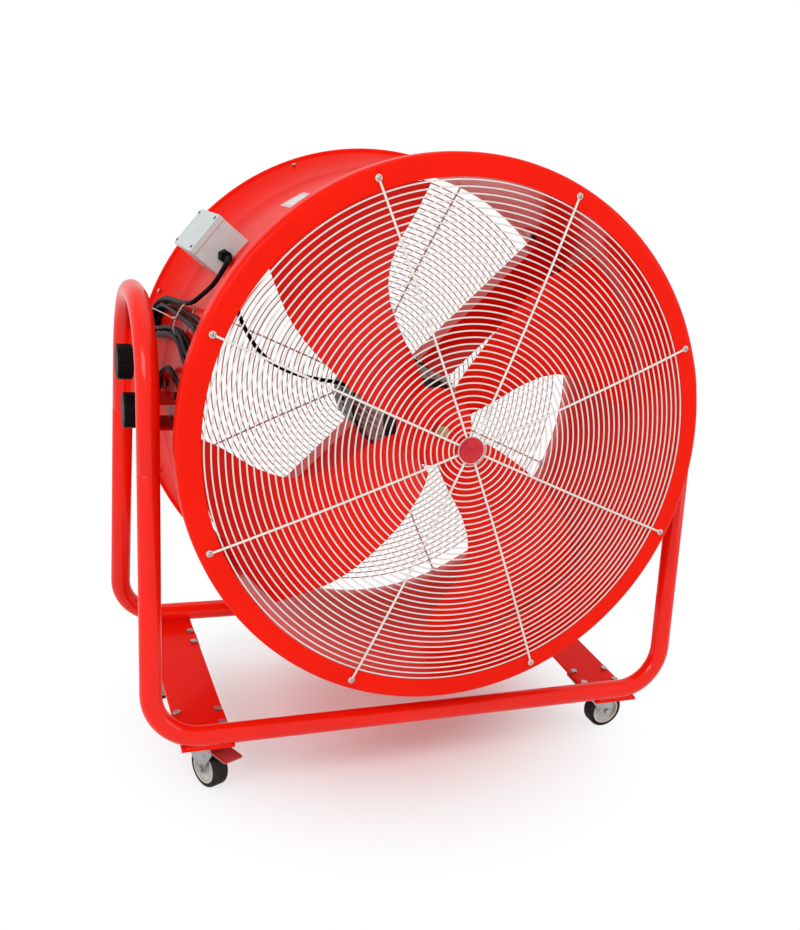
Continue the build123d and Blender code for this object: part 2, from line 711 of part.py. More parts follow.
def end_shields():
    seat = BEARING_R + BEARING_HOUSING
    bore = SHAFT_R + SHIELD_BORE_GAP
    nose = FRAME_FRONT - SHIELD_NOSE
    front = turned([
        (BEARING_R, FRAME_FRONT), (MOTOR_R, FRAME_FRONT), (MOTOR_R, FRAME_FRONT - SHIELD_THICK),
        (MOTOR_R - 12, FRAME_FRONT - SHIELD_THICK - 8), (seat, nose), (bore, nose),
        (bore, FRAME_FRONT - BEARING_WIDTH), (BEARING_R, FRAME_FRONT - BEARING_WIDTH),
    ])
    rear = pipe(MOTOR_R, BEARING_R, (0, FRAME_REAR, 0), (0, FRAME_REAR + SHIELD_THICK, 0))
    rear += pipe(seat, BEARING_R, (0, FRAME_REAR, 0), (0, FRAME_REAR + BEARING_WIDTH, 0))
    return [front, rear]


def bearing_spans():
    front = FRAME_FRONT - BEARING_WIDTH
    return ((front, FRAME_FRONT), (FRAME_REAR, FRAME_REAR + BEARING_WIDTH))


def bearings():
    return [pipe(BEARING_R, SHAFT_R + RUNNING_GAP, (0, a, 0), (0, b, 0)) for a, b in bearing_spans()]


def fan_cowl():
    start = FRAME_REAR + SHIELD_THICK
    shell = pipe(COWL_R, COWL_R - COWL_WALL, (0, start - COWL_LAP, 0), (0, COWL_REAR, 0))
    shell += pipe(COWL_R, MOTOR_R, (0, start - COWL_LAP, 0), (0, start, 0))
    grille = pipe(COWL_R, GRILLE_BORE_R, (0, COWL_REAR - COWL_WALL, 0), (0, COWL_REAR, 0))
    slot = block((GRILLE_BORE_R + 12, COWL_REAR - 4, -GRILLE_SLOT / 2), (COWL_R - 14, COWL_REAR + 2, GRILLE_SLOT / 2))
    return shell + (grille - [Rot(0, i * 360 / GRILLE_SLOTS, 0) * slot for i in range(GRILLE_SLOTS)])


def stator():
    a = STATOR_Y - STATOR_LENGTH / 2
    b = STATOR_Y + STATOR_LENGTH / 2
    core = pipe(MOTOR_R - MOTOR_WALL, ROTOR_R + AIR_GAP, (0, a, 0), (0, b, 0))
    return core + pipe(MOTOR_R - 14, ROTOR_R + 6, (0, a - WINDING_OUT, 0), (0, b + WINDING_OUT, 0))


def rotor():
    half = STATOR_LENGTH / 2
    return pipe(ROTOR_R, SHAFT_R, (0, STATOR_Y - half, 0), (0, STATOR_Y + half, 0))


def shaft():
    return rod(SHAFT_R, (0, SHAFT_FRONT, 0), (0, COWL_REAR - 12, 0))


def cooling_fan():
    a = FRAME_REAR + BEARING_WIDTH + COOLER_GAP
    fan = pipe(COOLER_HUB_R, SHAFT_R, (0, a, 0), (0, a + COOLER_LONG, 0))
    fan += pipe(COOLER_R, SHAFT_R, (0, a, 0), (0, a + COOLER_SHEET, 0))
    vane = block((COOLER_HUB_R - 2, a, -COOLER_SHEET / 2), (COOLER_R, a + COOLER_LONG - 2, COOLER_SHEET / 2))
    return fan + [Rot(0, i * 360 / COOLER_VANES, 0) * vane for i in range(COOLER_VANES)]


# ---- impeller ----------------------------------------------------------------------
def blade_section(out, low, high):
    share = (out - BLADE_OUTLINE[0][0]) / (BLADE_OUTLINE[-1][0] - BLADE_OUTLINE[0][0])
    pitch = PITCH_ROOT + (PITCH_TIP - PITCH_ROOT) * share
    plane = Plane(origin=(out, IMPELLER_Y, 0), x_dir=(0, 0, 1), z_dir=(1, 0, 0))
    strip = Pos((low + high) / 2, 0) * Rectangle(high - low, BLADE_THICK)
    return plane * Rot(0, 0, pitch) * strip


def blade():
    body = loft([blade_section(*row) for row in BLADE_OUTLINE], ruled=True)
    tip = rod(BORE_R - TIP_GAP, (0, -HALF_DEPTH, 0), (0, HALF_DEPTH, 0))
    return body & tip


def blade_angles():
    return [BLADE_HEADING + i * 360 / BLADES for i in range(BLADES)]


def impeller_blades():
    one = blade()
    return [Rot(0, -angle, 0) * one for angle in blade_angles()]


def impeller_hub():
    front = IMPELLER_Y - HUB_DISC / 2
    hub = pipe(HUB_DISC_R, SHAFT_R, (0, front, 0), (0, front + HUB_DISC, 0))
    return hub + pipe(HUB_BOSS_R, SHAFT_R, (0, HUB_BOSS_FRONT, 0), (0, front + HUB_DISC + HUB_BOSS_BEHIND, 0))


def impeller_bolts():
    front = IMPELLER_Y - HUB_DISC / 2
    bolts = []
    for i in range(BLADES):
        a = math.radians(BLADE_HEADING - 45 + i * 360 / BLADES)
        x = HUB_BOLT_CIRCLE_R * math.cos(a)
        z = HUB_BOLT_CIRCLE_R * math.sin(a)
        bolts.append(hexagon(BOLT_HEAD_R, (x, front, z), (x, front - BOLT_HEAD, z)))
    return bolts


# ---- side hardware -------------------------------------------------------------------
def lock_spot():
    """The lock stud's place in the drum's frame: straight above the pivot when the drum is level."""
    return 0.0, LOCK_R


def pivot_bracket():
    web = block((-BRACKET_X, -BRACKET_HALF_Y, -BRACKET_BELOW),
                (-BRACKET_X + BRACKET_SHEET, BRACKET_HALF_Y, BRACKET_ABOVE))
    web = fillet(web.edges().filter_by(Axis.X), radius=BRACKET_ROUND)
    bracket = web
    for z in (-GUSSET_Z, GUSSET_Z - GUSSET_SHEET):
        bracket += block((-BRACKET_X, -BRACKET_HALF_Y + 6, z), (-BORE_R + 4, BRACKET_HALF_Y - 6, z + GUSSET_SHEET))
    flange = pipe(DRUM_R + BRACKET_SHEET, DRUM_R, (0, -GUSSET_HALF_Y, 0), (0, GUSSET_HALF_Y, 0))
    flange &= block((-RIM_R, -GUSSET_HALF_Y, -2 * GUSSET_Z), (-BORE_R + 20, GUSSET_HALF_Y, 2 * GUSSET_Z))
    return (bracket + flange) - rod(DRUM_R, (0, -RIM_R, 0), (0, RIM_R, 0))


def bracket_bolts():
    spread = math.degrees(1.5 * GUSSET_Z / DRUM_R)
    bolts = []
    for i in (-1, 1):
        for j in (-1, 1):
            bolt = hexagon(BOLT_HEAD_R, (DRUM_R + BRACKET_SHEET, j * GUSSET_HALF_Y * 0.8, 0),
                           (DRUM_R + BRACKET_SHEET + BOLT_HEAD, j * GUSSET_HALF_Y * 0.8, 0))
            bolts.append(on_drum(180 + i * spread) * bolt)
    return bolts


def pivot_studs():
    """Pivot stud and lock stud of the left side, with the collars that space them off the plate."""
    face = -PLATE_INNER_X + FACE_GAP
    y, z = lock_spot()
    pivot = rod(COLLAR_R, (-BRACKET_X, 0, 0), (face, 0, 0))
    pivot += rod(STUD_R, (face, 0, 0), (-PLATE_OUTER_X - PIVOT_KNOB_THICK + 8, 0, 0))
    lock = rod(LOCK_COLLAR_R, (-BRACKET_X, y, z), (face, y, z))
    lock += rod(LOCK_STUD_R, (face, y, z), (-PLATE_OUTER_X - LOCK_BOSS - LOCK_KNOB_THICK + 10, y, z))
    return [pivot, lock]


def knob(radius, thick, stud, boss_radius, boss):
    """A lobed clamp knob on the X axis, its boss at x = 0 and its face at the far -X end."""
    start = -boss
    end = -boss - thick
    head = rod(radius, (start, 0, 0), (end, 0, 0))
    head = fillet(head.edges().filter_by(GeomType.CIRCLE), radius=3.5)
    for i in range(KNOB_LOBES):
        a = 2 * math.pi * i / KNOB_LOBES
        y = (radius + 0.45 * KNOB_LOBE_R) * math.cos(a)
        z = (radius + 0.45 * KNOB_LOBE_R) * math.sin(a)
        head -= rod(KNOB_LOBE_R, (start + 1, y, z), (end - 1, y, z))
    if boss > 0:
        head += rod(boss_radius, (0, 0, 0), (start, 0, 0))
    return head - rod(stud + RUNNING_GAP, (1, 0, 0), (end + 6, 0, 0))


def make_knobs():
    face = -PLATE_OUTER_X - FACE_GAP
    y, z = lock_spot()
    pivot = placed(Pos(face, 0, 0) * knob(PIVOT_KNOB_R, PIVOT_KNOB_THICK, STUD_R, 0, 0))
    lock = placed(Pos(face, y, z) * knob(LOCK_KNOB_R, LOCK_KNOB_THICK, LOCK_STUD_R, LOCK_BOSS_R, LOCK_BOSS))
    save(pivot, "pivot_knob_left")
    save(mirrored(pivot), "pivot_knob_right")
    save(lock, "lock_knob_left")
    save(mirrored(lock), "lock_knob_right")


# ---- electrics --------------------------------------------------------------------------
def on_box(low, high):
    """A block in the junction box's frame: X out of the drum, Y along it, Z round it."""
    return on_drum(BOX_ANGLE) * block(low, high)


def box_ends():
    return BOX_FRONT, BOX_FRONT + BOX_LENGTH


def junction_box():
    a, b = box_ends()
    half = BOX_WIDTH / 2
    top = DRUM_R + BOX_TALL
    body = on_box((BORE_R - 8, a, -half), (top, b, half))
    body -= on_box((DRUM_R + 2 * BOX_WALL, a + BOX_WALL, -half + BOX_WALL), (top + 1, b - BOX_WALL, half - BOX_WALL))
    return body - rod(DRUM_R, (0, -RIM_R, 0), (0, RIM_R, 0)) - gland_bore() - grommet_hole()


def gland_centre():
    a = math.radians(GLAND_ANGLE)
    return GLAND_OUT * math.cos(a), GLAND_OUT * math.sin(a)


def gland_bore():
    x, z = gland_centre()
    return rod(CORD_R, (x, BOX_FRONT - 1, z), (x, BOX_FRONT + 2 * BOX_WALL, z))


def box_lid():
    a, b = box_ends()
    half = BOX_WIDTH / 2
    top = DRUM_R + BOX_TALL
    lid = on_box((top, a - 1, -half - 1), (top + LID_TALL, b + 1, half + 1))
    return fillet(lid.edges().filter_by(GeomType.LINE).group_by(SortBy.LENGTH)[0], radius=3)


def box_screws():
    a, b = box_ends()
    half = BOX_WIDTH / 2 - 8
    top = DRUM_R + BOX_TALL + LID_TALL
    return [on_drum(BOX_ANGLE) * rod(SCREW_R, (top, y, z), (top + 1.5, y, z))
            for y in (a + 9, b - 9) for z in (-half, half)]


def cable_gland():
    x, z = gland_centre()
    tip = BOX_FRONT - GLAND_LONG
    gland = hexagon(GLAND_R + 2, (x, BOX_FRONT, z), (x, BOX_FRONT - 9, z))
    gland += rod(GLAND_R, (x, BOX_FRONT - 9, z), (x, tip, z))
    return gland - rod(CORD_R, (x, BOX_FRONT + 1, z), (x, tip - 1, z))


def grommet_hole():
    return on_drum(BOX_ANGLE) * rod(GROMMET_NECK_R, (BORE_R - 10, GROMMET_Y, 0), (DRUM_R + 4 * BOX_WALL, GROMMET_Y, 0))


def lead_grommet():
    """A rubber collar in the drum's skin under the box, flanged on the inside."""
    top = DRUM_R + 2 * BOX_WALL
    neck = rod(GROMMET_NECK_R, (BORE_R - 4, GROMMET_Y, 0), (top, GROMMET_Y, 0))
    flange = rod(GROMMET_FLANGE_R, (BORE_R - 4, GROMMET_Y, 0), (top, GROMMET_Y, 0))
    collar = neck + (flange & on_drum(-BOX_ANGLE) * rod(BORE_R, (0, -RIM_R, 0), (0, RIM_R, 0)))
    return on_drum(BOX_ANGLE) * (collar - rod(LEAD_R, (BORE_R - 10, GROMMET_Y, 0), (top + 1, GROMMET_Y, 0)))


def corner_radii(spots):
    """Each corner's arc, as large as its two runs allow."""
    runs = [b - a for a, b in zip(spots, spots[1:])]
    radii = []
    for before, after in zip(runs, runs[1:]):
        half_turn = math.radians(before.get_angle(after)) / 2
        radii.append(0.45 * min(before.length, after.length) / math.tan(half_turn))
    return radii


def cord_tube(points, radius, name, largest=math.inf):
    """A tube on straight runs joined by tangent arcs."""
    spots = [Vector(*p) for p in points]
    radii = [min(bend, largest) for bend in corner_radii(spots)]
    path = FilletPolyline(*spots, radius=radii)
    tube = swept(radius, path)
    share = tube.volume / (math.pi * radius * radius * path.length)
    print(name, "radii", [round(r) for r in radii])
    print(name, "length", round(path.length), "volume share", round(share, 4), "least gap to itself",
          round(least_gap(path, radius), 2))
    return tube


def least_gap(path, radius):
    """Least clear distance between stretches of a tube that aren't neighbours, on points."""
    count = max(40, int(path.length / 3))
    spots = [path @ (i / count) for i in range(count + 1)]
    skip = int(10 * radius / (path.length / count)) + 1
    least = path.length
    for i, a in enumerate(spots):
        for b in spots[i + skip:]:
            least = min(least, (a - b).length)
    return least - 2 * radius


def lead_route():
    """The motor's lead: in through the drum's skin, down its inside and across to the motor."""
    a = math.radians(BOX_ANGLE)
    b = math.radians(LEAD_BOSS_ANGLE)
    start = DRUM_R + 3 * BOX_WALL
    turn = BORE_R - 22
    near = LEAD_BOSS_OUT + 26
    return [
        (start * math.cos(a), GROMMET_Y, start * math.sin(a)),
        (turn * math.cos(a), GROMMET_Y, turn * math.sin(a)),
        (-333, 74, 221),
        (-329, 80, 182),
        (-311, 82, 140),
        (-284, 84, 98),
        (-248, 83, 69),
        (-206, 74, 54),
        (-166, 57, 49),
        (near * math.cos(b), LEAD_BOSS_Y, near * math.sin(b)),
        (MOTOR_R * math.cos(b), LEAD_BOSS_Y, MOTOR_R * math.sin(b)),
    ]


def skin_radius(y):
    return flare_at(y) if y > FLARE_START else DRUM_R


def hank_point(along, across, layer):
    """A point of the hank: along the drum, up the drum's skin from the hank's middle, and out from it."""
    drooped = across - HANK_DROOP * (along / HANK_REAR) ** 2
    y = HANK_Y + along
    out = skin_radius(y) + HANK_SKIN_GAP + CORD_R + layer * HANK_LAYER
    angle = math.radians(HANK_ANGLE) - drooped / DRUM_R
    return out * math.cos(angle), y, out * math.sin(angle)


def gland_route():
    """From the gland's mouth down the drum's side to the hank."""
    x, z = gland_centre()
    tip = BOX_FRONT - GLAND_LONG
    return [
        (x, tip, z),
        (x - 1, tip - 25, z - 1),
        (x - 11, tip - 44, z - 14),
        (x - 27, tip - 42, z - 42),
        hank_point(-62, 62, 0.5),
    ]


def hank_turns():
    """Turn and layer: in on the outer layer, then out again on the layer against the drum."""
    return [(0, 1), (1, 1), (1, 0), (0, 0)]


def hank_route():
    """The turns, each drawn in at the waist, each climb in the half turn at the front end."""
    turns = hank_turns()
    points = [(-22, 30, 1.0)]
    for i, (turn, layer) in enumerate(turns):
        width = HANK_HALF_WIDTH - turn * HANK_STEP
        waist = HANK_WAIST - turn * HANK_WAIST_STEP
        rear = HANK_REAR - turn * HANK_STEP
        if i > 0:
            points.append((0, waist, layer))
        points.append((rear, width, layer))
        points.append((rear, -width, layer))
        points.append((0, -waist, layer))
        if i + 1 < len(turns):
            after, next_layer = turns[i + 1]
            front = HANK_FRONT - min(turn, after) * HANK_STEP
            points.append((-front, -width, layer))
            points.append((-front, HANK_HALF_WIDTH - after * HANK_STEP, next_layer))
    return [hank_point(*p) for p in points]


def tail_route():
    """The hank's loose end: a turn under the front lobe and back to the plug."""
    return [hank_point(*p) for p in (
        (-55, -32, 0),
        (-106, -37, 0),
        (-125, -54, 0),
        (-125, -77, 0.1),
        (-106, -93, 0.1),
        (-42, -89, 0.2),
        (24, -84, 0.3),
        (78, -100, 0.6),
        (PLUG_Y - HANK_Y, -126, 0.9),
    )]


def plug_frame():
    """The plug lies against the drum's side, its cable end forward."""
    x, y, z = tail_route()[-1]
    return Pos(x, y, z) * on_drum(math.degrees(math.atan2(z, x)))


def mains_plug():
    half_wide = PLUG_WIDE / 2
    half_thick = PLUG_THICK / 2
    body = Pos(0, PLUG_NECK + PLUG_LONG / 2, 0) * Box(PLUG_THICK, PLUG_LONG, PLUG_WIDE)
    body = fillet(body.edges(), radius=PLUG_ROUND)
    body += rod(CORD_R + 2, (0, 0, 0), (0, PLUG_NECK + PLUG_ROUND + 1, 0))
    end = PLUG_NECK + PLUG_LONG
    for z, x in ((-half_wide / 2, -half_thick / 3), (half_wide / 2, -half_thick / 3), (0, half_thick / 3)):
        body += rod(PIN_R, (x, end - PLUG_ROUND, z), (x, end + PIN_LONG, z))
    return plug_frame() * body


def lead_in_strand():
    """Where the strand from the gland passes the waist: how far across, and on which layer."""
    start, end = [Vector(*p) for p in hank_route()[:2]]
    spot = start + (end - start) * ((HANK_Y - start.Y) / (end.Y - start.Y))
    across = (math.radians(HANK_ANGLE) - math.atan2(spot.Z, spot.X)) * DRUM_R
    out = math.hypot(spot.X, spot.Z) - DRUM_R - HANK_SKIN_GAP - CORD_R
    return across, out / HANK_LAYER


def waist_bow():
    """How far the bend carries the lower strands out past the waist's corner."""
    turn = math.atan2(HANK_HALF_WIDTH + HANK_DROOP - HANK_WAIST, HANK_REAR)
    return WAIST_BEND_R * (1 / math.cos(turn) - 1)


def cord_tie():
    """A wire round all the strands at the waist, twisted into a bead, with one long free end."""
    reach = CORD_R + TIE_R + TIE_GAP
    across, layer = lead_in_strand()
    up = across + reach
    down = HANK_WAIST + waist_bow() + reach
    low = -(HANK_SKIN_GAP + CORD_R - TIE_GAP - TIE_R) / HANK_LAYER
    high = layer + (reach + TIE_GAP) / HANK_LAYER
    loop = [hank_point(0, *spot) for spot in (
        (2, high + 0.02), (up, high), (up, low), (up / 2, low), (0, low),
        (-down / 2, low), (-down, low), (-down, high), (-2, high + 0.02))]
    tail = [hank_point(1, -1, high + 0.2), hank_point(60, -1, high + 0.9), hank_point(140, 3, high + 1.8),
            hank_point(220, 14, high + 1.7)]
    around = swept(TIE_R, FilletPolyline(*[Vector(*p) for p in loop], radius=TIE_R * 1.6))
    spots = [Vector(*p) for p in tail]
    free = swept(TIE_R, FilletPolyline(*spots, radius=corner_radii(spots)))
    bead = Pos(*hank_point(0, 0.9, high + TIE_BEAD_R / HANK_LAYER - 0.15)) * Sphere(TIE_BEAD_R)
    return around + free + bead


def halfway(a, b):
    return tuple((p + q) / 2 for p, q in zip(a, b))


def make_cord():
    lead_in = gland_route()
    hank = hank_route() + tail_route()
    joint = halfway(lead_in[-1], hank[0])
    save(placed(cord_tube(lead_in + [joint], CORD_R, "supply_cord")), "supply_cord")
    save(placed(cord_tube([joint] + hank, CORD_R, "supply_hank", WAIST_BEND_R)), "supply_hank")
    save(placed(cord_tie()), "cord_tie")
    save(placed(mains_plug()), "mains_plug")
    save(placed(cord_tube(lead_route(), LEAD_R, "motor_lead")), "motor_lead")
    save(placed(lead_grommet()), "lead_grommet")


def main():
    make_stand()
    make_casters()
    save(placed(cylinder_shell()), "drum_cylinder")
    save(placed(front_rim()), "front_rim")
    save(placed(rear_rim()), "rear_rim")
    save(placed(group(guard_rings(-1))), "front_guard_rings")
    save(placed(group(guard_rings(1))), "rear_guard_rings")
    save(placed(group(guard_spokes(-1))), "front_guard_spokes")
    save(placed(group(guard_spokes(1) + [guard_disc(1)])), "rear_guard_spokes")
    save(placed(guard_disc(-1)), "guard_badge")
    save(placed(group(guard_screws(-1) + guard_screws(1))), "guard_screws")
    save(placed(rating_plate()), "rating_plate")
    save(placed(strut()), "motor_strut")
    bracket = pivot_bracket()
    save(placed(group([bracket, mirrored(bracket)])), "pivot_brackets")
    side_bolts = bracket_bolts()
    save(placed(group(strut_bolts() + side_bolts + [mirrored(b) for b in side_bolts] + box_screws())), "drum_bolts")
    studs = pivot_studs()
    save(placed(group(studs + [mirrored(s) for s in studs])), "pivot_studs")
    make_knobs()
    save(placed(motor_frame()), "motor_frame")
    save(placed(group(end_shields())), "motor_end_shields")
    save(placed(group(bearings())), "motor_bearings")
    save(placed(fan_cowl()), "fan_cowl")
    save(placed(stator()), "motor_stator")
    save(placed(rotor()), "motor_rotor")
    save(placed(shaft()), "motor_shaft")
    save(placed(cooling_fan()), "cooling_fan")
    save(placed(group(impeller_blades())), "impeller_blades")
    save(placed(impeller_hub()), "impeller_hub")
    save(placed(group(impeller_bolts())), "impeller_bolts")
    save(placed(junction_box()), "junction_box")
    save(placed(box_lid()), "junction_box_lid")
    save(placed(cable_gland()), "cable_gland")
    make_cord()


main()
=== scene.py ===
import math

import bmesh
import bpy
import numpy as np
from bpy.props import FloatProperty, FloatVectorProperty, PointerProperty
from mathutils import Matrix, Vector


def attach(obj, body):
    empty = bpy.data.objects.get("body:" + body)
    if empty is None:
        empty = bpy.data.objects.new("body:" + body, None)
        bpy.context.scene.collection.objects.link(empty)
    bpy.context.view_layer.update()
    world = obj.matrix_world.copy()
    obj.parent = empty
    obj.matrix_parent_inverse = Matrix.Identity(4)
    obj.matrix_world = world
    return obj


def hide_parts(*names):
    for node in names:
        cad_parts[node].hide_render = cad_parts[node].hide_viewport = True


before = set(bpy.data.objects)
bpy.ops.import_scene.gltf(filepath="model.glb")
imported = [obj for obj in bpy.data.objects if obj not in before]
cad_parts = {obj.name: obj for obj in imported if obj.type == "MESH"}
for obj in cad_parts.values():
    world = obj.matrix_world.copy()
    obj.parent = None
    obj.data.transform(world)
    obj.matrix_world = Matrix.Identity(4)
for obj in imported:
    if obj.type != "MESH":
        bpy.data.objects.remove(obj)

bl_info = {
    "name": "Drum Fan",
    "version": (1, 0, 0),
    "blender": (4, 5, 0),
    "location": "View3D > Sidebar > Drum Fan",
    "description": "Dresses a wheeled drum fan's packed model with finished surfaces and materials",
    "category": "Add Mesh",
}

# Sizes are in millimetres. The drum's points have their axis along Y through its middle, before
# its tilt. The stand's have their origin on the floor under the fan's middle.
MM = 0.001
DRUM_TILT = math.radians(4.2)
PIVOT_Z = 673.0

# Stand: rails, legs leaning inwards by LEG_LEAN, hoops, and the weld beads on its plates.
RAIL_Z = 142.0
RAIL_Y = 255.0
HOOP_X = 520.0
TUBE_R = 19.0
LEG_LEAN = 0.125
SEAM_HEIGHT = 478.0
HOOP_HEIGHT = 738.0
CORNER_BEND = 90.0
HOOP_BEND = 160.0
SIDE_PLATE_X = 510.0
SIDE_PLATE_HEIGHTS = (486.0, 644.0)
SIDE_WELD_SHIFT = 3.6
RAIL_WELD_SHIFT = 7.5
RAIL_WELD_HALF = 40.0
RAIL_WELD_Z = 124.2
RAIL_WELD_R = 2.6
WELD_PITCH = 3.0

# Casters: each swivel's x and y and its heading in degrees.
CASTER_X = 421.0
CASTER_Y = 165.0
CASTER_HEADINGS = {
    "front_left": (-CASTER_X, -CASTER_Y, 24.8), "front_right": (CASTER_X, -CASTER_Y, 95.0),
    "rear_left": (-CASTER_X, CASTER_Y, -48.7), "rear_right": (CASTER_X, CASTER_Y, 150.0)}
CASTER_TRAIL = 36.0
TYRE_R = 40.0
TYRE_WALL_R = 36.0
TYRE_BED_R = 31.0
TYRE_HALF = 15.0
SHOULDER_R = 5.0
GROOVE_R = 39.2

# Drum: skin, folded front rim with its collar, flared rear rim with its rolled bead.
BORE_R = 450.0
SKIN_R = 452.0
SHEET = 2.0
RIM_R = 489.0
HALF_DEPTH = 281.0
FOLD_R = 11.0
LIP_Y = -245.0
COLLAR_Y = -255.0
FLARE_START = 150.0
BEAD_R = 4.0
SPOT_WELDS = 16
SPOT_WELD_Y = 140.0

# Guards: rings, spokes, their eyes and tabs, screws and the plain badge.
SCREW_CIRCLE_R = 470.0
REAR_SCREW_Y = 262.0
REAR_EDGE_GAP = 9.0
CROWN = 319.5
INNER_RING_R = 30.0
FIRST_RING_R = 39.0
RING_PITCH = 11.0
RING_COUNT = 38
RING_RADII = np.append(INNER_RING_R, FIRST_RING_R + RING_PITCH * np.arange(RING_COUNT))
RING_BITE = 0.3
SPOKE_R = 2.0
SPOKE_START_R = 20.0
SPOKE_ANGLES = np.radians(22.5 + 45.0 * np.arange(8))
EYELET_R = 6.0
EYELET_BITE = 1.0
EYE_R = 4.4
EYE_WIRE_R = 1.5
TAB_HALF = 7.0
TAB_DROP = 5.2
TAB_HALF_THICKNESS = 2.0
SCREW_HEAD_R = 4.3
SCREW_HEAD_HEIGHT = 3.4
RECESS_R = 2.3
RECESS_DEPTH = 1.3
BADGE_R = 23.6
BADGE_BACK_Y = -321.8
BADGE_EDGE_Y = -322.8
BADGE_CROWN_Y = -323.65

# Impeller: four blades on a hub, trimmed by a circle.
IMPELLER_Y = -140.0
PITCH_ROOT = 36.0
PITCH_TIP = 4.0
ROOT_R = 62.0
TIP_R = 446.0
TRIM_R = 438.0
FIRST_BLADE = 35.0
BLADE_HALF_THICKNESS = 1.5
BLADE_EDGE = 1.1

# Knobs: height over the pivot, outer face's distance from the middle, bright ring's radius.
KNOBS = {"pivot": (0.0, 540.3, 22.0), "lock": (87.0, 550.3, 21.0)}

# The blank label on the drum's side: its half sizes, and its middle's angle and y.
LABEL_HALF = (50.0, 20.0)
LABEL_ANGLE = math.radians(122.0)
LABEL_Y = -15.0

# How a CAD piece is joined up, in metres, and shaded and eased, in degrees.
JOIN_DISTANCE = 2e-6
FLAT_ANGLE = 0.4
CREASE_ANGLE = 28.0
EASED_ANGLE = 34.0
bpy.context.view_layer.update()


# ---- surfaces -------------------------------------------------------------------------------
def to_fan(p):
    """Turns drum millimetres by the tilt about X and lifts them to the pivot, in metres."""
    c, s = math.cos(DRUM_TILT), math.sin(DRUM_TILT)
    x, y, z = p[..., 0], p[..., 1], p[..., 2]
    return np.stack([x, y * c + z * s, PIVOT_Z + z * c - y * s], axis=-1) * MM


def unit(v):
    """Vectors (..., 3) divided by their lengths."""
    return v / np.linalg.norm(v, axis=-1, keepdims=True)


def full_turn(steps):
    """Angles of even steps once round a circle."""
    return np.linspace(0, 2 * np.pi, steps, endpoint=False)


def grid_quads(count, rows, cols, wrap_rows, wrap_cols):
    """Corner numbers of the quads of `count` grids of rows by cols points."""
    k, r, c = np.meshgrid(np.arange(count), np.arange(rows if wrap_rows else rows - 1),
                          np.arange(cols if wrap_cols else cols - 1), indexing="ij")
    above, beside = (r + 1) % rows, (c + 1) % cols
    corners = [r * cols + c, r * cols + beside, above * cols + beside, above * cols + c]
    return (k[..., None] * rows * cols + np.stack(corners, axis=-1)).reshape(-1, 4)


def enclosed(points, faces):
    """Signed volume: the sum over each face's fan of triangles of a . (b x c) / 6."""
    total = 0.0
    for size in {len(f) for f in faces}:
        group = np.array([f for f in faces if len(f) == size])
        for i in range(1, size - 1):
            a, b, c = points[group[:, 0]], points[group[:, i]], points[group[:, i + 1]]
            total += float(np.einsum("ij,ij->", a, np.cross(b, c))) / 6
    return total


def surface(name, grids, wrap_rows=False, wrap_cols=True, crease=32.0):
    """A mesh from grids of points (count, rows, cols, 3) in metres, a tube's open ends closed by
    one face each, faces outwards, smooth except where faces meet at more than `crease` degrees."""
    grids = np.asarray(grids, float)
    if grids.ndim == 3:
        grids = grids[None]
    count, rows, cols, _ = grids.shape
    points = grids.reshape(-1, 3)
    faces = grid_quads(count, rows, cols, wrap_rows, wrap_cols).tolist()
    if wrap_cols and not wrap_rows:
        ring = np.arange(cols)
        for k in range(count):
            faces.append((k * rows * cols + ring).tolist()[::-1])
            faces.append((k * rows * cols + (rows - 1) * cols + ring).tolist())
    if enclosed(points - points.mean(axis=0), faces) < 0:
        faces = [f[::-1] for f in faces]
    mesh = bpy.data.meshes.new(name)
    mesh.from_pydata(points.tolist(), [], faces)
    mesh.update()
    mesh.shade_smooth()
    mesh.set_sharp_from_angle(angle=math.radians(crease))
    return mesh


def spun(profile, segments):
    """Surface of revolution: each (radius, y) of a closed profile goes round the Y axis."""
    radius, y = np.asarray(profile, float).T
    turn = full_turn(segments)[:, None]
    return np.stack([radius * np.cos(turn), y + 0 * turn, radius * np.sin(turn)], axis=-1)


def hoops(radius, y, wire, sides, wire_sides):
    """Round wires about the Y axis: the circle (radius + wire cos b, y + wire sin b), carried
    round by a to (out cos a, y, out sin a). One wire, or one for each radius and y given."""
    a, b = full_turn(sides)[:, None], full_turn(wire_sides)
    out = np.asarray(radius)[..., None, None] + wire * np.cos(b)
    along = np.asarray(y)[..., None, None] + wire * np.sin(b)
    return np.stack([out * np.cos(a), along + 0 * a, out * np.sin(a)], axis=-1)


def arc(centre, radius, start, end, steps):
    """Points of a plane arc, centre + radius (cos a, sin a), a in degrees."""
    a = np.radians(np.linspace(start, end, steps))
    return np.stack([centre[0] + radius * np.cos(a), centre[1] + radius * np.sin(a)], axis=-1)


def bent_path(corners, radius, steps=18):
    """Straight runs joined by tangent arcs of one radius. Returns points and unit tangents.
    At a corner turning by t, the arc starts r tan(t/2) before it and follows the circle there."""
    corners = [np.asarray(c, float) for c in corners]
    points, tangents = [corners[0]], [unit(corners[1] - corners[0])]
    for a, b, c in zip(corners, corners[1:], corners[2:]):
        into, out = unit(b - a), unit(c - b)
        turn = math.acos(float(np.clip(into @ out, -1, 1)))
        start = b - into * radius * math.tan(turn / 2)
        inward = unit(out - into * (into @ out))
        angle = np.linspace(0, turn, steps)[:, None]
        points += list(start + radius * (np.sin(angle) * into + (1 - np.cos(angle)) * inward))
        tangents += list(np.cos(angle) * into + np.sin(angle) * inward)
    last = unit(corners[-1] - corners[-2])
    return np.array(points + [corners[-1]]), np.array(tangents + [last])


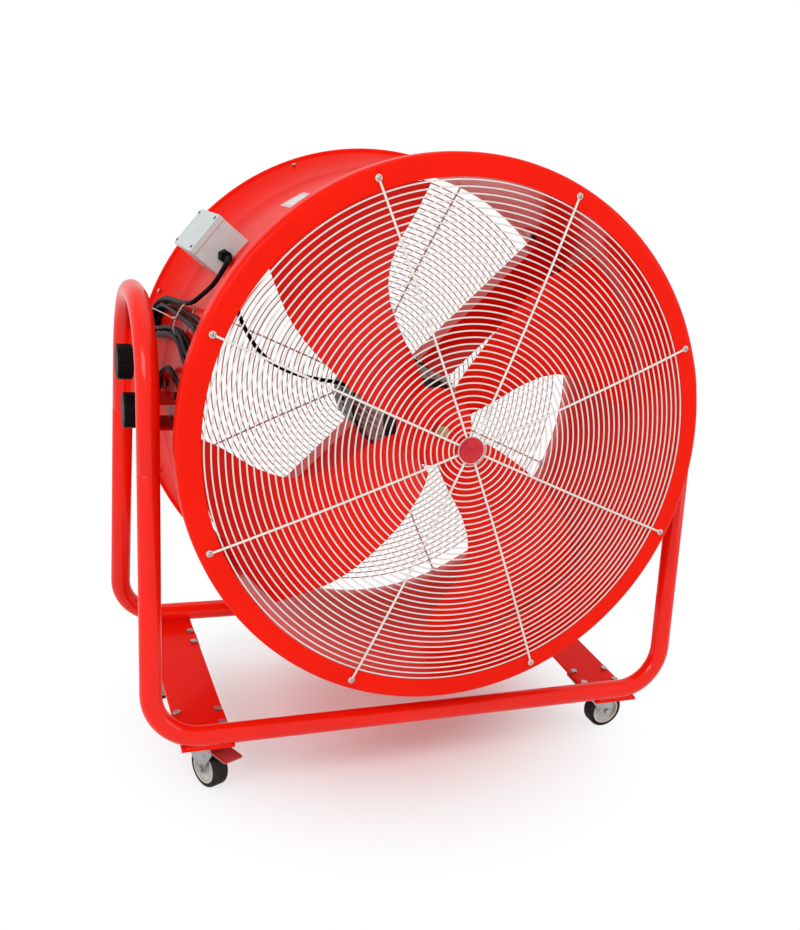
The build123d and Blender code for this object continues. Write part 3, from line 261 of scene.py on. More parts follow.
def swept(points, tangents, normal, radius, sides):
    """A tube: at each point a circle in the plane of `normal` and the tangent crossed with it.
    `radius` is one number or one for each point."""
    normal = np.broadcast_to(np.asarray(normal, float), points.shape)
    normal = unit(normal - tangents * np.sum(normal * tangents, -1, keepdims=True))
    side = np.cross(tangents, normal)
    a = full_turn(sides)[None, :, None]
    radius = np.broadcast_to(radius, (len(points),))[:, None, None]
    return points[:, None] + radius * (np.cos(a) * normal[:, None] + np.sin(a) * side[:, None])


def eased_ends(points, tangents, radius, ease=1.2):
    """Adds a point near each end, so that a tube's end edges are rounded off by `ease`."""
    a, b = points[0] + tangents[0] * ease, points[-1] - tangents[-1] * ease
    points = np.vstack([points[:1], a, points[1:-1], b, points[-1:]])
    tangents = np.vstack([tangents[:1], tangents, tangents[-1:]])
    sizes = np.full(len(points), float(radius))
    sizes[[0, -1]] -= ease * 0.6
    return points, tangents, sizes


def round_copies(grid, angles):
    """Copies of a grid of points, each turned about the Y axis by an angle, from +X towards +Z."""
    c, s = np.cos(angles)[:, None, None], np.sin(angles)[:, None, None]
    x, y, z = grid[..., 0], grid[..., 1], grid[..., 2]
    return np.stack([x * c - z * s, y + 0 * c, x * s + z * c], axis=-1)


def weld_bead(start, end, radius=2.2):
    """A weld along a line: a thin tube whose radius ripples by an eighth, once a pitch."""
    start, end = np.asarray(start, float), np.asarray(end, float)
    length = float(np.linalg.norm(end - start))
    along = np.linspace(0, 1, max(12, int(length / 0.9)))[:, None]
    tangents = np.broadcast_to(unit(end - start), (len(along), 3))
    ripple = radius * (1 + 0.13 * np.sin(2 * np.pi * along[:, 0] * length / WELD_PITCH))
    ripple[[0, -1]] *= 0.35
    return swept(start + (end - start) * along, tangents, (0.31, 0.52, 0.79), ripple, 8)


# ---- material effects, each a node group used by several materials --------------------------
GRIME_TOP = 0.34
PEEL_HEIGHT = 0.0004


def feed(tree, node, values):
    """Gives each socket named or numbered its value, or a link from the socket given for it."""
    for key, value in values.items():
        if isinstance(value, bpy.types.NodeSocket):
            tree.links.new(value, node.inputs[key])
        else:
            node.inputs[key].default_value = value


def wired(tree, kind, values, **settings):
    """Adds a shader node with its settings and sockets."""
    node = tree.nodes.new("ShaderNode" + kind)
    for key, value in settings.items():
        setattr(node, key, value)
    feed(tree, node, values)
    return node


def new_group(name, **inputs):
    """A node group and its input sockets with defaults: a number, a vector or a colour."""
    group = bpy.data.node_groups.new(name, "ShaderNodeTree")
    for label, value in inputs.items():
        kind = "Float" if isinstance(value, float) else {3: "Vector", 4: "Color"}[len(value)]
        socket = group.interface.new_socket(name=label, in_out="INPUT",
                                            socket_type="NodeSocket" + kind)
        socket.default_value = value
    return group, group.nodes.new("NodeGroupInput").outputs


def give_out(group, label, kind, value):
    """Ends a node group with its one output."""
    group.interface.new_socket(name=label, in_out="OUTPUT", socket_type="NodeSocket" + kind)
    group.links.new(value, group.nodes.new("NodeGroupOutput").inputs[label])
    return group


def own_place(tree):
    return tree.nodes.new("ShaderNodeTexCoord").outputs["Object"]


def noise(tree, scale, detail=3.0, roughness=0.5, place=None):
    """A noise texture, on the piece's own coordinates where no other place is given."""
    if place is None:
        place = own_place(tree)
    values = {"Vector": place, "Scale": scale, "Detail": detail, "Roughness": roughness}
    return wired(tree, "TexNoise", values).outputs["Fac"]


def ramp(tree, value, low, high):
    """0 below `low`, 1 above `high`, smooth between."""
    values = {"Value": value, "From Min": low, "From Max": high}
    return wired(tree, "MapRange", values, interpolation_type="SMOOTHSTEP").outputs["Result"]


def spread(tree, value, low, high):
    """Takes values from 0 to 1 to values from `low` to `high`."""
    values = {"Value": value, "To Min": low, "To Max": high}
    return wired(tree, "MapRange", values).outputs["Result"]


def math_value(tree, operation, a, b):
    return wired(tree, "Math", {0: a, 1: b}, operation=operation).outputs["Value"]


def mix_colour(tree, factor, a, b):
    """Goes from colour a to colour b as the factor goes from 0 to 1."""
    return wired(tree, "Mix", {0: factor, 6: a, 7: b}, data_type="RGBA").outputs[2]


def ripple_group():
    """Orange peel: soft noise lifted as a bump. Gives a Normal."""
    group, take = new_group("surface_ripple", Scale=400.0, Depth=0.1)
    bump = wired(group, "Bump", {"Distance": PEEL_HEIGHT, "Strength": take["Depth"],
                                 "Height": noise(group, take["Scale"], 2.0)})
    return give_out(group, "Normal", "Vector", bump.outputs["Normal"])


def mottle_group():
    """A colour that drifts to a second tone and back in soft patches."""
    group, take = new_group("soft_mottle", Colour=(1, 1, 1, 1), Second=(1, 1, 1, 1), Scale=8.0)
    patch = ramp(group, noise(group, take["Scale"], 5.0, 0.6), 0.38, 0.66)
    mottled = mix_colour(group, patch, take["Colour"], take["Second"])
    return give_out(group, "Colour", "Color", mottled)


def grime_group():
    """Dust that lies thicker near the floor: none above GRIME_TOP metres, broken up by noise."""
    group, take = new_group("floor_grime", Colour=(1, 1, 1, 1), Dust=(0.3, 0.27, 0.24, 1),
                            Amount=0.3)
    height = wired(group, "SeparateXYZ", {"Vector": own_place(group)}).outputs["Z"]
    low = ramp(group, math_value(group, "SUBTRACT", GRIME_TOP, height), 0.0, GRIME_TOP)
    broken = ramp(group, noise(group, 28.0, 6.0, 0.65), 0.35, 0.75)
    patches = math_value(group, "MULTIPLY", low, broken)
    mask = math_value(group, "MULTIPLY", patches, take["Amount"])
    dusty = mix_colour(group, mask, take["Colour"], take["Dust"])
    return give_out(group, "Colour", "Color", dusty)


def brushing_group():
    """Fine parallel strokes: noise squeezed across one direction. Gives a Roughness."""
    group, take = new_group("fine_brushing", Along=(1, 1, 1), Low=0.25, High=0.45)
    squeezed = wired(group, "VectorMath", {0: own_place(group), 1: take["Along"]},
                     operation="MULTIPLY").outputs["Vector"]
    strokes = spread(group, noise(group, 1.0, place=squeezed), take["Low"], take["High"])
    return give_out(group, "Roughness", "Float", strokes)


def placed(tree, name, **values):
    """Places a shared node group, built the first time it is asked for, and gives its output."""
    makers = {"surface_ripple": ripple_group, "soft_mottle": mottle_group,
              "floor_grime": grime_group, "fine_brushing": brushing_group}
    group = bpy.data.node_groups.get(name) or makers[name]()
    return wired(tree, "Group", values, node_tree=group).outputs[0]


def new_material(name):
    """A material with its node tree and Principled shader."""
    material = bpy.data.materials.new(name)
    material.use_nodes = True
    return material, material.node_tree, material.node_tree.nodes["Principled BSDF"]


def tone(colour):
    """A colour as written, or one of the user's colours times a factor."""
    if isinstance(colour[0], str):
        chosen = getattr(bpy.context.scene.drum_fan_colours, colour[0])
        return tuple(c * colour[1] for c in chosen)
    return colour


def finish_material(name, colour, second, roughness, ripple, patch, metal=0.0, coat=0.0,
                    coat_rough=0.06, grime=0.0, rough_span=0.08, specular=0.5, brushed=None):
    """A Principled surface with mottled colour, floor dust, rippled normal and uneven roughness."""
    material, tree, shader = new_material(name)
    base = placed(tree, "soft_mottle", Colour=(*tone(colour), 1), Second=(*tone(second), 1),
                  Scale=patch)
    if grime > 0:
        base = placed(tree, "floor_grime", Colour=base, Amount=grime)
    if brushed:
        rough = placed(tree, "fine_brushing", Along=brushed, Low=roughness,
                       High=roughness + rough_span * 2)
    else:
        rough = spread(tree, noise(tree, patch * 5, 4.0), roughness - rough_span / 2,
                       roughness + rough_span)
    feed(tree, shader, {
        "Base Color": base, "Roughness": rough, "Metallic": metal, "Specular IOR Level": specular,
        "Coat Weight": coat, "Coat Roughness": coat_rough,
        "Normal": placed(tree, "surface_ripple", Scale=ripple[0], Depth=ripple[1])})
    return material


# Each finish: its slot in the record, first and second tone, roughness, the orange peel's
# fineness and depth, the mottling's fineness, and what else differs from finish_material's own.
FINISHES = {
    "red_paint": ("red_paint", ("paint", 1.0), ("paint", 0.9), 0.3, (260.0, 0.06), 5.0,
                  dict(coat=0.45, coat_rough=0.12, specular=0.04, grime=0.02, rough_span=0.06)),
    "drum_paint": ("red_paint", ("paint", 1.0), ("paint", 0.93), 0.3, (180.0, 0.05), 3.5,
                   dict(coat=0.05, coat_rough=0.08, specular=0.03, rough_span=0.07)),
    # The blades' finish is a lit copy of the paint, its tone raised to 1.05 times the paint:
    # painted light, for the brighter light on the blades. The hub and its bolts share it.
    "blade_paint": ("red_paint_blades", ("paint", 1.05), ("paint", 0.94), 0.34, (220.0, 0.08), 9.0,
                    dict(coat=0.03, coat_rough=0.15, specular=0.14)),
    "guard_coat": ("guard_coat", ("guard", 1.0), ("guard", 0.93), 0.32, (700.0, 0.12), 14.0,
                   dict(coat=0.35, coat_rough=0.15)),
    "zinc": ("zinc", (0.46, 0.45, 0.42), (0.34, 0.33, 0.3), 0.28, (900.0, 0.1), 60.0,
             dict(metal=1.0, brushed=(900.0, 140.0, 140.0), rough_span=0.1)),
    "grey_steel": ("zinc", (0.42, 0.42, 0.43), (0.3, 0.29, 0.29), 0.38, (700.0, 0.12), 45.0,
                   dict(metal=0.9, grime=0.4)),
    "cast_alloy": ("motor_alloy", (0.66, 0.69, 0.68), (0.5, 0.53, 0.53), 0.48, (520.0, 0.35), 22.0,
                   dict(metal=0.35, rough_span=0.14)),
    "black_paint": ("motor_black", (0.012, 0.012, 0.013), (0.022, 0.021, 0.02), 0.36,
                    (600.0, 0.2), 20.0, dict(coat=0.1, coat_rough=0.2, specular=0.25)),
    "windings": ("stator_steel", (0.35, 0.16, 0.06), (0.16, 0.08, 0.04), 0.5,
                 (900.0, 0.4), 120.0, dict(metal=0.6)),
    "ground_steel": ("bearing_steel", (0.6, 0.6, 0.6), (0.5, 0.5, 0.5), 0.2, (900.0, 0.05), 50.0,
                     dict(metal=1.0, brushed=(200.0, 1400.0, 200.0))),
    "oiled_shaft": ("shaft_bronze", (0.62, 0.43, 0.2), (0.38, 0.22, 0.1), 0.25, (500.0, 0.08),
                    70.0, dict(metal=1.0, brushed=(150.0, 1200.0, 150.0))),
    "box_moulding": ("box_plastic", (0.6, 0.68, 0.67), (0.54, 0.62, 0.61), 0.42, (1100.0, 0.16),
                     12.0, dict(coat=0.1, coat_rough=0.3)),
    "black_moulding": ("black_plastic", (0.004, 0.004, 0.005), (0.008, 0.008, 0.008), 0.4,
                       (1300.0, 0.3), 30.0, dict(specular=0.04)),
    "cord_sheath": ("cord_rubber", (0.003, 0.003, 0.004), (0.006, 0.006, 0.006), 0.36,
                    (1500.0, 0.12), 40.0, dict(specular=0.04, rough_span=0.14)),
    "tread_rubber": ("tyre_rubber", (0.008, 0.008, 0.009), (0.014, 0.013, 0.012), 0.5,
                     (1100.0, 0.5), 50.0, dict(specular=0.08, grime=0.08)),
    "hub_moulding": ("hub_plastic", (0.68, 0.67, 0.63), (0.55, 0.53, 0.49), 0.5,
                     (1000.0, 0.25), 45.0, dict(grime=0.4)),
    "pedal_moulding": ("pedal_red", (0.55, 0.025, 0.03), (0.4, 0.02, 0.025), 0.35,
                       (900.0, 0.2), 40.0, dict(coat=0.3, grime=0.3)),
    "badge_enamel": ("badge_enamel", (0.62, 0.02, 0.03), (0.5, 0.015, 0.025), 0.2,
                     (200.0, 0.03), 60.0, dict(coat=0.15, coat_rough=0.03, specular=0.2)),
    "label_film": ("label_film", (0.74, 0.76, 0.75), (0.66, 0.68, 0.68), 0.28,
                   (700.0, 0.06), 30.0, dict(metal=0.55)),
    "label_frame": ("label_film", (0.06, 0.065, 0.07), (0.1, 0.1, 0.1), 0.4,
                    (900.0, 0.05), 40.0, {}),
    "tie_wire": ("tie_wire", (0.72, 0.62, 0.52), (0.6, 0.5, 0.42), 0.4,
                 (1500.0, 0.2), 80.0, {}),
}


def finish(key):
    """The material of a finish, made the first time it is asked for."""
    name = "fan_" + key
    _slot, *looks, others = FINISHES[key]
    return bpy.data.materials.get(name) or finish_material(name, *looks, **others)


# ---- pieces ---------------------------------------------------------------------------------
def link_object(name, data):
    """A new object at the origin, in the scene."""
    made = bpy.data.objects.new(name, data)
    bpy.context.scene.collection.objects.link(made)
    return made


def add_piece(name, data, material, body, *replaces):
    """A piece with its finish, riding on a body, in place of the CAD nodes named."""
    piece = link_object(name, data)
    data.materials.clear()
    data.materials.append(finish(material))
    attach(piece, body)
    if replaces:
        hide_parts(*replaces)
    return piece


def add_shape(name, grids, material, body, *replaces, **closing):
    """A piece from grids of points in metres, closed as surface() says."""
    return add_piece(name, surface(name, grids, **closing), material, body, *replaces)


def add_spun(name, profile, segments, material, body, *replaces):
    """A piece whose closed profile is spun about the drum's axis."""
    grid = to_fan(spun(profile, segments))
    return add_shape(name, grid, material, body, *replaces, wrap_rows=True)


def ease_edges(piece, name, width, segments, angle):
    """A live bevel on the edges sharper than `angle` degrees."""
    ease = piece.modifiers.new(name, "BEVEL")
    ease.width = width * MM
    ease.segments = segments
    ease.limit_method = "ANGLE"
    ease.angle_limit = math.radians(angle)
    return ease


def refined(node, material, body, bevel=0.5):
    """The CAD piece's own shape with its triangles joined, flat faces merged, curved ones smoothed
    and hard edges eased by a live bevel."""
    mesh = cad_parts[node].data.copy()
    bm = bmesh.new()
    bm.from_mesh(mesh)
    bmesh.ops.remove_doubles(bm, verts=bm.verts, dist=JOIN_DISTANCE)
    bmesh.ops.dissolve_limit(bm, angle_limit=math.radians(FLAT_ANGLE), verts=bm.verts,
                             edges=bm.edges)
    bm.to_mesh(mesh)
    bm.free()
    for spare in ("custom_normal", "sharp_edge"):
        if spare in mesh.attributes:
            mesh.attributes.remove(mesh.attributes[spare])
    mesh.shade_smooth()
    mesh.set_sharp_from_angle(angle=math.radians(CREASE_ANGLE))
    piece = add_piece(node + "_dressed", mesh, material, body, node)
    if bevel > 0:
        ease_edges(piece, "eased_edges", bevel, 2, EASED_ANGLE).harden_normals = True
    return piece


# ---- stand ----------------------------------------------------------------------------------
def leg_y(height):
    """How far a leg is from the fan's middle plane at a height over the rails."""
    return RAIL_Y - LEG_LEAN * height


def build_tubes():
    """Base tubes and hoops: circles carried along straight runs and bends in one leaning plane."""
    radius = bpy.context.scene.drum_fan_sizes.tube_radius / MM
    seam, top = RAIL_Z + SEAM_HEIGHT, RAIL_Z + HOOP_HEIGHT
    low, high = leg_y(SEAM_HEIGHT), leg_y(HOOP_HEIGHT)
    tubes = []
    for side, name in ((-1, "front_base_tube"), (1, "rear_base_tube")):
        corners = [(-HOOP_X, side * low, seam), (-HOOP_X, side * RAIL_Y, RAIL_Z),
                   (HOOP_X, side * RAIL_Y, RAIL_Z), (HOOP_X, side * low, seam)]
        tubes.append((name, corners, CORNER_BEND, (0, 1, side * LEG_LEAN)))
    for side, name in ((-1, "left_hoop"), (1, "right_hoop")):
        x = side * HOOP_X
        corners = [(x, -low, seam), (x, -high, top), (x, high, top), (x, low, seam)]
        tubes.append((name, corners, HOOP_BEND, (1, 0, 0)))
    for name, corners, bend, normal in tubes:
        points, tangents, sizes = eased_ends(*bent_path(corners, bend), radius)
        tube = swept(points, tangents, normal, sizes, 48)
        add_shape(name + "_skin", tube * MM, "red_paint", "stand", name)


def build_welds():
    """Weld beads where the side plates meet the tubes and where the rails lie on their plates."""
    beads = []
    for side in (-1, 1):
        for end in (-1, 1):
            for shift in (-SIDE_WELD_SHIFT, SIDE_WELD_SHIFT):
                x = side * SIDE_PLATE_X + shift
                inset = math.sqrt(TUBE_R ** 2 - (x - side * HOOP_X) ** 2) * math.hypot(1, LEG_LEAN)
                ends = [(x, end * (leg_y(h) - inset), RAIL_Z + h) for h in SIDE_PLATE_HEIGHTS]
                beads.append(weld_bead(*ends))
            for face in (-1, 1):
                y = end * RAIL_Y + face * RAIL_WELD_SHIFT
                ends = [(side * CASTER_X + k * RAIL_WELD_HALF, y, RAIL_WELD_Z) for k in (-1, 1)]
                beads.append(weld_bead(*ends, RAIL_WELD_R))
    rows = max(len(b) for b in beads)
    kept = [np.linspace(0, len(b) - 1, rows).round().astype(int) for b in beads]
    grids = np.stack([b[k] for b, k in zip(beads, kept)])
    add_shape("weld_beads", grids * MM, "red_paint", "stand")


def build_casters():
    """Tyres, each a rounded profile with two shallow grooves spun about its axle, and the casters'
    other pieces in their CAD shapes."""
    centre, side = TYRE_R - SHOULDER_R, TYRE_HALF - SHOULDER_R
    profile = np.vstack([
        [(TYRE_BED_R, -TYRE_HALF), (TYRE_WALL_R, -TYRE_HALF)],
        arc((centre, -side), SHOULDER_R, -90, 0, 8),
        [(TYRE_R, -4.2), (GROOVE_R, -3.6), (GROOVE_R, -2.6), (TYRE_R, -2.0)],
        [(TYRE_R, 2.0), (GROOVE_R, 2.6), (GROOVE_R, 3.6), (TYRE_R, 4.2)],
        arc((centre, side), SHOULDER_R, 0, 90, 8),
        [(TYRE_WALL_R, TYRE_HALF), (TYRE_BED_R, TYRE_HALF)]])
    tyre = spun(profile, 72)
    u, v, w = tyre[..., 1], tyre[..., 0] - CASTER_TRAIL, tyre[..., 2] + TYRE_R
    for name, (x, y, heading) in CASTER_HEADINGS.items():
        c, s = math.cos(math.radians(heading)), math.sin(math.radians(heading))
        grid = np.stack([x + u * c - v * s, y + u * s + v * c, w], axis=-1) * MM
        add_shape(f"tyre_{name}_tread", grid, "tread_rubber", f"wheel_{name}", f"tyre_{name}",
                  wrap_rows=True)
        refined(f"wheel_hub_{name}", "hub_moulding", f"wheel_{name}", 0.6)
        refined(f"caster_fork_{name}", "grey_steel", f"caster_{name}")
        if f"brake_pedal_{name}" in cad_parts:
            refined(f"brake_pedal_{name}", "pedal_moulding", f"pedal_{name}", 0.7)
    refined("caster_top_plates", "grey_steel", "stand")
    refined("caster_bolts", "zinc", "stand")


# ---- drum -----------------------------------------------------------------------------------
def flare_at(y):
    """Outer radius of the rear flare: an arc that starts level at FLARE_START and ends at the
    bead, r = skin + bend - sqrt(bend^2 - (y - start)^2)."""
    run, rise = HALF_DEPTH - BEAD_R - FLARE_START, RIM_R - BEAD_R - SKIN_R
    bend = (run * run + rise * rise) / (2 * rise)
    return SKIN_R + bend - np.sqrt(bend * bend - (y - FLARE_START) ** 2)


def build_drum():
    """Drum skin, folded front rim with its collar, and rear rim flared along an arc into a rolled
    bead: closed profiles spun about the axis."""
    inner = SHEET - HALF_DEPTH
    skin = [(BORE_R, inner)]
    skin += [(SKIN_R, y) for y in (inner, -200.0, -100.0, 0.0, 100.0, FLARE_START)]
    skin += [(BORE_R, y) for y in (FLARE_START, 50.0, -50.0, -150.0)]
    add_spun("drum_skin", skin, 256, "drum_paint", "drum", "drum_cylinder")
    fold = (RIM_R - FOLD_R, FOLD_R - HALF_DEPTH)
    lip = [(RIM_R, LIP_Y - 1), (RIM_R - 1, LIP_Y), (RIM_R - SHEET, LIP_Y - 1)]
    rim = np.vstack([[(BORE_R, -HALF_DEPTH)], arc(fold, FOLD_R, -90, 0, 10), lip,
                     arc(fold, FOLD_R - SHEET, 0, -90, 10), [(BORE_R, inner)]])
    add_spun("front_rim_fold", rim, 256, "drum_paint", "drum", "front_rim")
    collar = [(SKIN_R, inner), (SKIN_R + SHEET, inner), (SKIN_R + SHEET, COLLAR_Y - 1),
              (SKIN_R + 1, COLLAR_Y), (SKIN_R, COLLAR_Y)]
    add_spun("front_rim_collar", collar, 192, "drum_paint", "drum")
    y = np.linspace(FLARE_START, HALF_DEPTH - BEAD_R, 22)
    outside = np.stack([flare_at(y), y], axis=-1)
    inside = outside[::-1] - (SHEET, 0.0)
    bead = arc((RIM_R - BEAD_R, HALF_DEPTH - BEAD_R), BEAD_R, -118, 208, 22)
    flare = np.vstack([outside[:-1], bead, inside[1:]])
    add_spun("rear_rim_flare", flare, 256, "drum_paint", "drum", "rear_rim")


def build_spot_welds():
    """A row of low round domes where the flare is tacked on: circles that shrink as they rise."""
    ring = full_turn(20)
    radius, height = np.array([(3.6, 0.0), (2.9, 0.5), (1.6, 0.75), (0.02, 0.8)]).T[..., None]
    out = SKIN_R - 0.1 + height + 0 * ring
    dome = np.stack([out, SPOT_WELD_Y + radius * np.cos(ring), radius * np.sin(ring)], axis=-1)
    angles = np.radians((np.arange(SPOT_WELDS) + 0.5) * 360 / SPOT_WELDS)
    add_shape("spot_welds", to_fan(round_copies(dome, angles)), "drum_paint", "drum")


# ---- guards ---------------------------------------------------------------------------------
def dome_y(radius, edge_radius, edge_y):
    """A guard wire's distance from the drum's middle: a parabola from the crown to its edge."""
    return CROWN + (edge_y - CROWN) * (radius / edge_radius) ** 2


def guard_edge(side):
    """Radius and distance from the drum's middle of a guard's edge, front (-1) or rear (1)."""
    if side < 0:
        return SCREW_CIRCLE_R - EYELET_R + EYELET_BITE, HALF_DEPTH + SPOKE_R
    return float(flare_at(REAR_SCREW_Y)) - REAR_EDGE_GAP, REAR_SCREW_Y


def build_guard(side, name):
    """One guard: rings as round wires about the axis, spokes as tubes along a parabola."""
    sizes = bpy.context.scene.drum_fan_sizes
    wire, rib = sizes.ring_wire / 2 / MM, sizes.spoke_wire / 2 / MM
    edge = guard_edge(side)
    y = side * (dome_y(RING_RADII, *edge) - rib - wire + RING_BITE)
    add_shape(f"{name}_rings", to_fan(hoops(RING_RADII, y, wire, 168, 7)), "guard_coat", "drum",
              f"{name}_guard_rings", wrap_rows=True, crease=80)
    reach = np.linspace(SPOKE_START_R, edge[0], 26)
    points = np.stack([reach, side * dome_y(reach, *edge), 0 * reach], axis=-1)
    spoke = swept(points, unit(np.gradient(points, axis=0)), (0, 0, 1), rib, 12)
    add_shape(f"{name}_spokes", to_fan(round_copies(spoke, SPOKE_ANGLES)), "guard_coat", "drum",
              f"{name}_guard_spokes", crease=60)


def build_eyes():
    """The front spokes' ends, each a round wire bent into an eye round its screw."""
    eye = hoops(EYE_R, -HALF_DEPTH - EYE_WIRE_R, EYE_WIRE_R, 36, 10) + (SCREW_CIRCLE_R, 0, 0)
    add_shape("front_spoke_eyes", to_fan(round_copies(eye, SPOKE_ANGLES)), "guard_coat", "drum",
              wrap_rows=True, crease=70)


def build_tabs():
    """The rear spokes' tabs under their screws: an outline with cut corners, lower at both ends."""
    wide, narrow = TAB_HALF, TAB_HALF - 1
    edge = [(-1, narrow), (-0.85, wide), (0.85, wide), (1, narrow)]
    corner = np.array(edge + [(-a, -b) for a, b in edge])
    depth = REAR_SCREW_Y + np.array([-wide, -narrow, narrow, wide])[:, None]
    tall = np.array([0.82, 1.0, 1.0, 0.82])[:, None]
    middle = float(flare_at(REAR_SCREW_Y)) - TAB_DROP
    out = middle + corner[:, 0] * TAB_HALF_THICKNESS + 0 * tall
    tab = np.stack([out, depth + 0 * out, corner[:, 1] * tall], axis=-1)
    add_shape("rear_spoke_tabs", to_fan(round_copies(tab, SPOKE_ANGLES)), "guard_coat", "drum",
              crease=40)


def build_screws():
    """Guard screws: heads whose profile is a quarter ellipse on a short wall, dented by a cross
    where cos 4a is high, on the front spokes' eyes and outside the flare over the rear tabs."""
    a, ring = np.linspace(0, np.pi / 2, 8), full_turn(24)
    radius = np.append(SCREW_HEAD_R, np.maximum(SCREW_HEAD_R * np.cos(a), 0.05))[:, None]
    rise = np.append(0.0, SCREW_HEAD_HEIGHT * (0.35 + 0.65 * np.sin(a)))[:, None]
    dent = (1 - radius / RECESS_R) * RECESS_DEPTH * (0.5 + 0.5 * np.cos(4 * ring) > 0.35)
    rise = rise - np.where(radius < RECESS_R, dent, 0.0)
    x, z = radius * np.cos(ring), radius * np.sin(ring)
    front = np.stack([SCREW_CIRCLE_R + x, -HALF_DEPTH - 2 * EYE_WIRE_R - rise, z], axis=-1)
    rear = np.stack([float(flare_at(REAR_SCREW_Y + 4.5)) + rise, REAR_SCREW_Y + x, z], axis=-1)
    heads = np.concatenate([round_copies(head, SPOKE_ANGLES) for head in (front, rear)])
    add_shape("screw_heads", to_fan(heads), "zinc", "drum", "guard_screws", crease=35)


def build_badge():
    """A plain enamel disc with a slight parabolic crown, its bright rim, and the rear guard's
    disc: closed profiles spun about the axis."""
    face = np.stack([np.linspace(23.3, 0.05, 10), BADGE_CROWN_Y + np.linspace(1, 0, 10) ** 2], -1)
    back = [(0.05, BADGE_BACK_Y), (BADGE_R, BADGE_BACK_Y), (BADGE_R, BADGE_EDGE_Y)]
    add_spun("badge_face", np.vstack([back, face]), 72, "badge_enamel", "drum", "guard_badge")
    rim = arc((24.0, BADGE_EDGE_Y), 1.0, 0, 360, 13)[:-1]
    add_spun("badge_rim", rim, 72, "ground_steel", "drum")
    disc = [(0.05, 321.6), (23.6, 321.6), (25.0, 322.4), (25.0, 323.2), (24.0, 323.9),
            (0.05, 323.9)]
    add_spun("rear_guard_disc", disc, 72, "guard_coat", "drum")


# ---- impeller -------------------------------------------------------------------------------
# A blade's distance out, and how far its chord runs to each side there.
BLADE_ROWS = np.array([
    (62.0, -30.0, 66.0), (80.0, -36.0, 80.0), (100.0, -39.0, 90.0), (130.0, -42.0, 102.0),
    (165.0, -43.0, 114.0), (200.0, -46.0, 121.0), (235.0, -54.0, 126.0), (265.0, -68.0, 129.0),
    (290.0, -90.0, 130.0), (315.0, -126.0, 129.0), (340.0, -185.0, 125.0), (370.0, -236.0, 117.0),
    (405.0, -248.0, 107.0), (446.0, -252.0, 94.0)])
# Radius and y of the hub's disc and boss.
HUB_PROFILE = np.vstack([
    [(12.0, -129.0), (12.0, -157.4), (12.6, -158.0)], arc((23.0, -156.0), 2.0, -90, 0, 5),
    arc((28.0, -148.0), 3.0, 180, 90, 6), arc((71.0, -142.0), 3.0, -90, 0, 6),
    arc((71.0, -138.0), 3.0, 0, 90, 6),
    [(26.0, -135.0), (25.0, -134.0), (25.0, -130.0), (24.0, -129.0)]])


def blade_point(out, share):
    """A blade's middle surface: at each distance out, a straight chord from its low to its high
    edge, turned by a pitch that falls steadily from root to tip. Gives z, dy and the pitch."""
    low = np.interp(out, BLADE_ROWS[:, 0], BLADE_ROWS[:, 1])
    high = np.interp(out, BLADE_ROWS[:, 0], BLADE_ROWS[:, 2])
    along = low + (high - low) * share
    pitch = np.radians(PITCH_ROOT + (PITCH_TIP - PITCH_ROOT) * (out - ROOT_R) / (TIP_R - ROOT_R))
    return along * np.cos(pitch), along * np.sin(pitch), pitch


def build_blades():
    """Four blades: the middle surface trimmed where out^2 + z^2 meets the trim circle's, found by
    thirty averaging steps, and given its sheet thickness."""
    share = np.linspace(0, 1, 30)
    reach = np.full(30, TRIM_R)
    for _ in range(30):
        z = blade_point(reach, share)[0]
        reach = 0.5 * reach + 0.5 * np.sqrt(TRIM_R ** 2 - z ** 2)
    out = ROOT_R + np.linspace(0, 1, 44)[:, None] * (reach - ROOT_R)
    z, dy, pitch = blade_point(out, share)
    sheets = []
    for half in (-BLADE_HALF_THICKNESS, BLADE_HALF_THICKNESS):
        y = IMPELLER_Y - dy - half * np.cos(pitch)
        sheets.append(np.stack([out, y, z - half * np.sin(pitch)], axis=-1))
    loop = np.concatenate([sheets[0], sheets[1][:, ::-1]], axis=1)
    angles = np.radians(FIRST_BLADE + 90.0 * np.arange(4))
    piece = add_shape("blade_sheets", to_fan(round_copies(loop, angles)), "blade_paint",
                      "impeller", "impeller_blades", crease=50)
    ease_edges(piece, "rolled_edges", BLADE_EDGE, 3, 50)


def build_hub():
    """Hub disc and boss as one spun profile with rounded edges. Bolts and shaft keep the CAD
    shape."""
    add_spun("hub_casting", HUB_PROFILE, 96, "blade_paint", "impeller", "impeller_hub")
    refined("impeller_bolts", "blade_paint", "impeller", 0.6)
    refined("motor_shaft", "oiled_shaft", "impeller", 1.0)


# ---- motor and hardware ---------------------------------------------------------------------
def build_motor():
    """The motor's pieces and strut in their CAD shapes, with a spun band round its frame."""
    refined("motor_frame", "cast_alloy", "drum")
    refined("motor_end_shields", "black_paint", "drum", 0.8)
    refined("fan_cowl", "black_paint", "drum")
    refined("motor_strut", "red_paint", "drum", 0.6)
    band = [(91.4, 72.6), (95.9, 72.6), (96.5, 73.2), (96.5, 122.8), (95.9, 123.4), (91.4, 123.4)]
    add_spun("strut_band", band, 128, "black_paint", "drum")
    refined("motor_bearings", "ground_steel", "drum", 0.3)
    refined("motor_stator", "windings", "drum", 0.3)
    refined("motor_rotor", "ground_steel", "impeller", 0.3)
    refined("cooling_fan", "black_moulding", "impeller", 0.3)


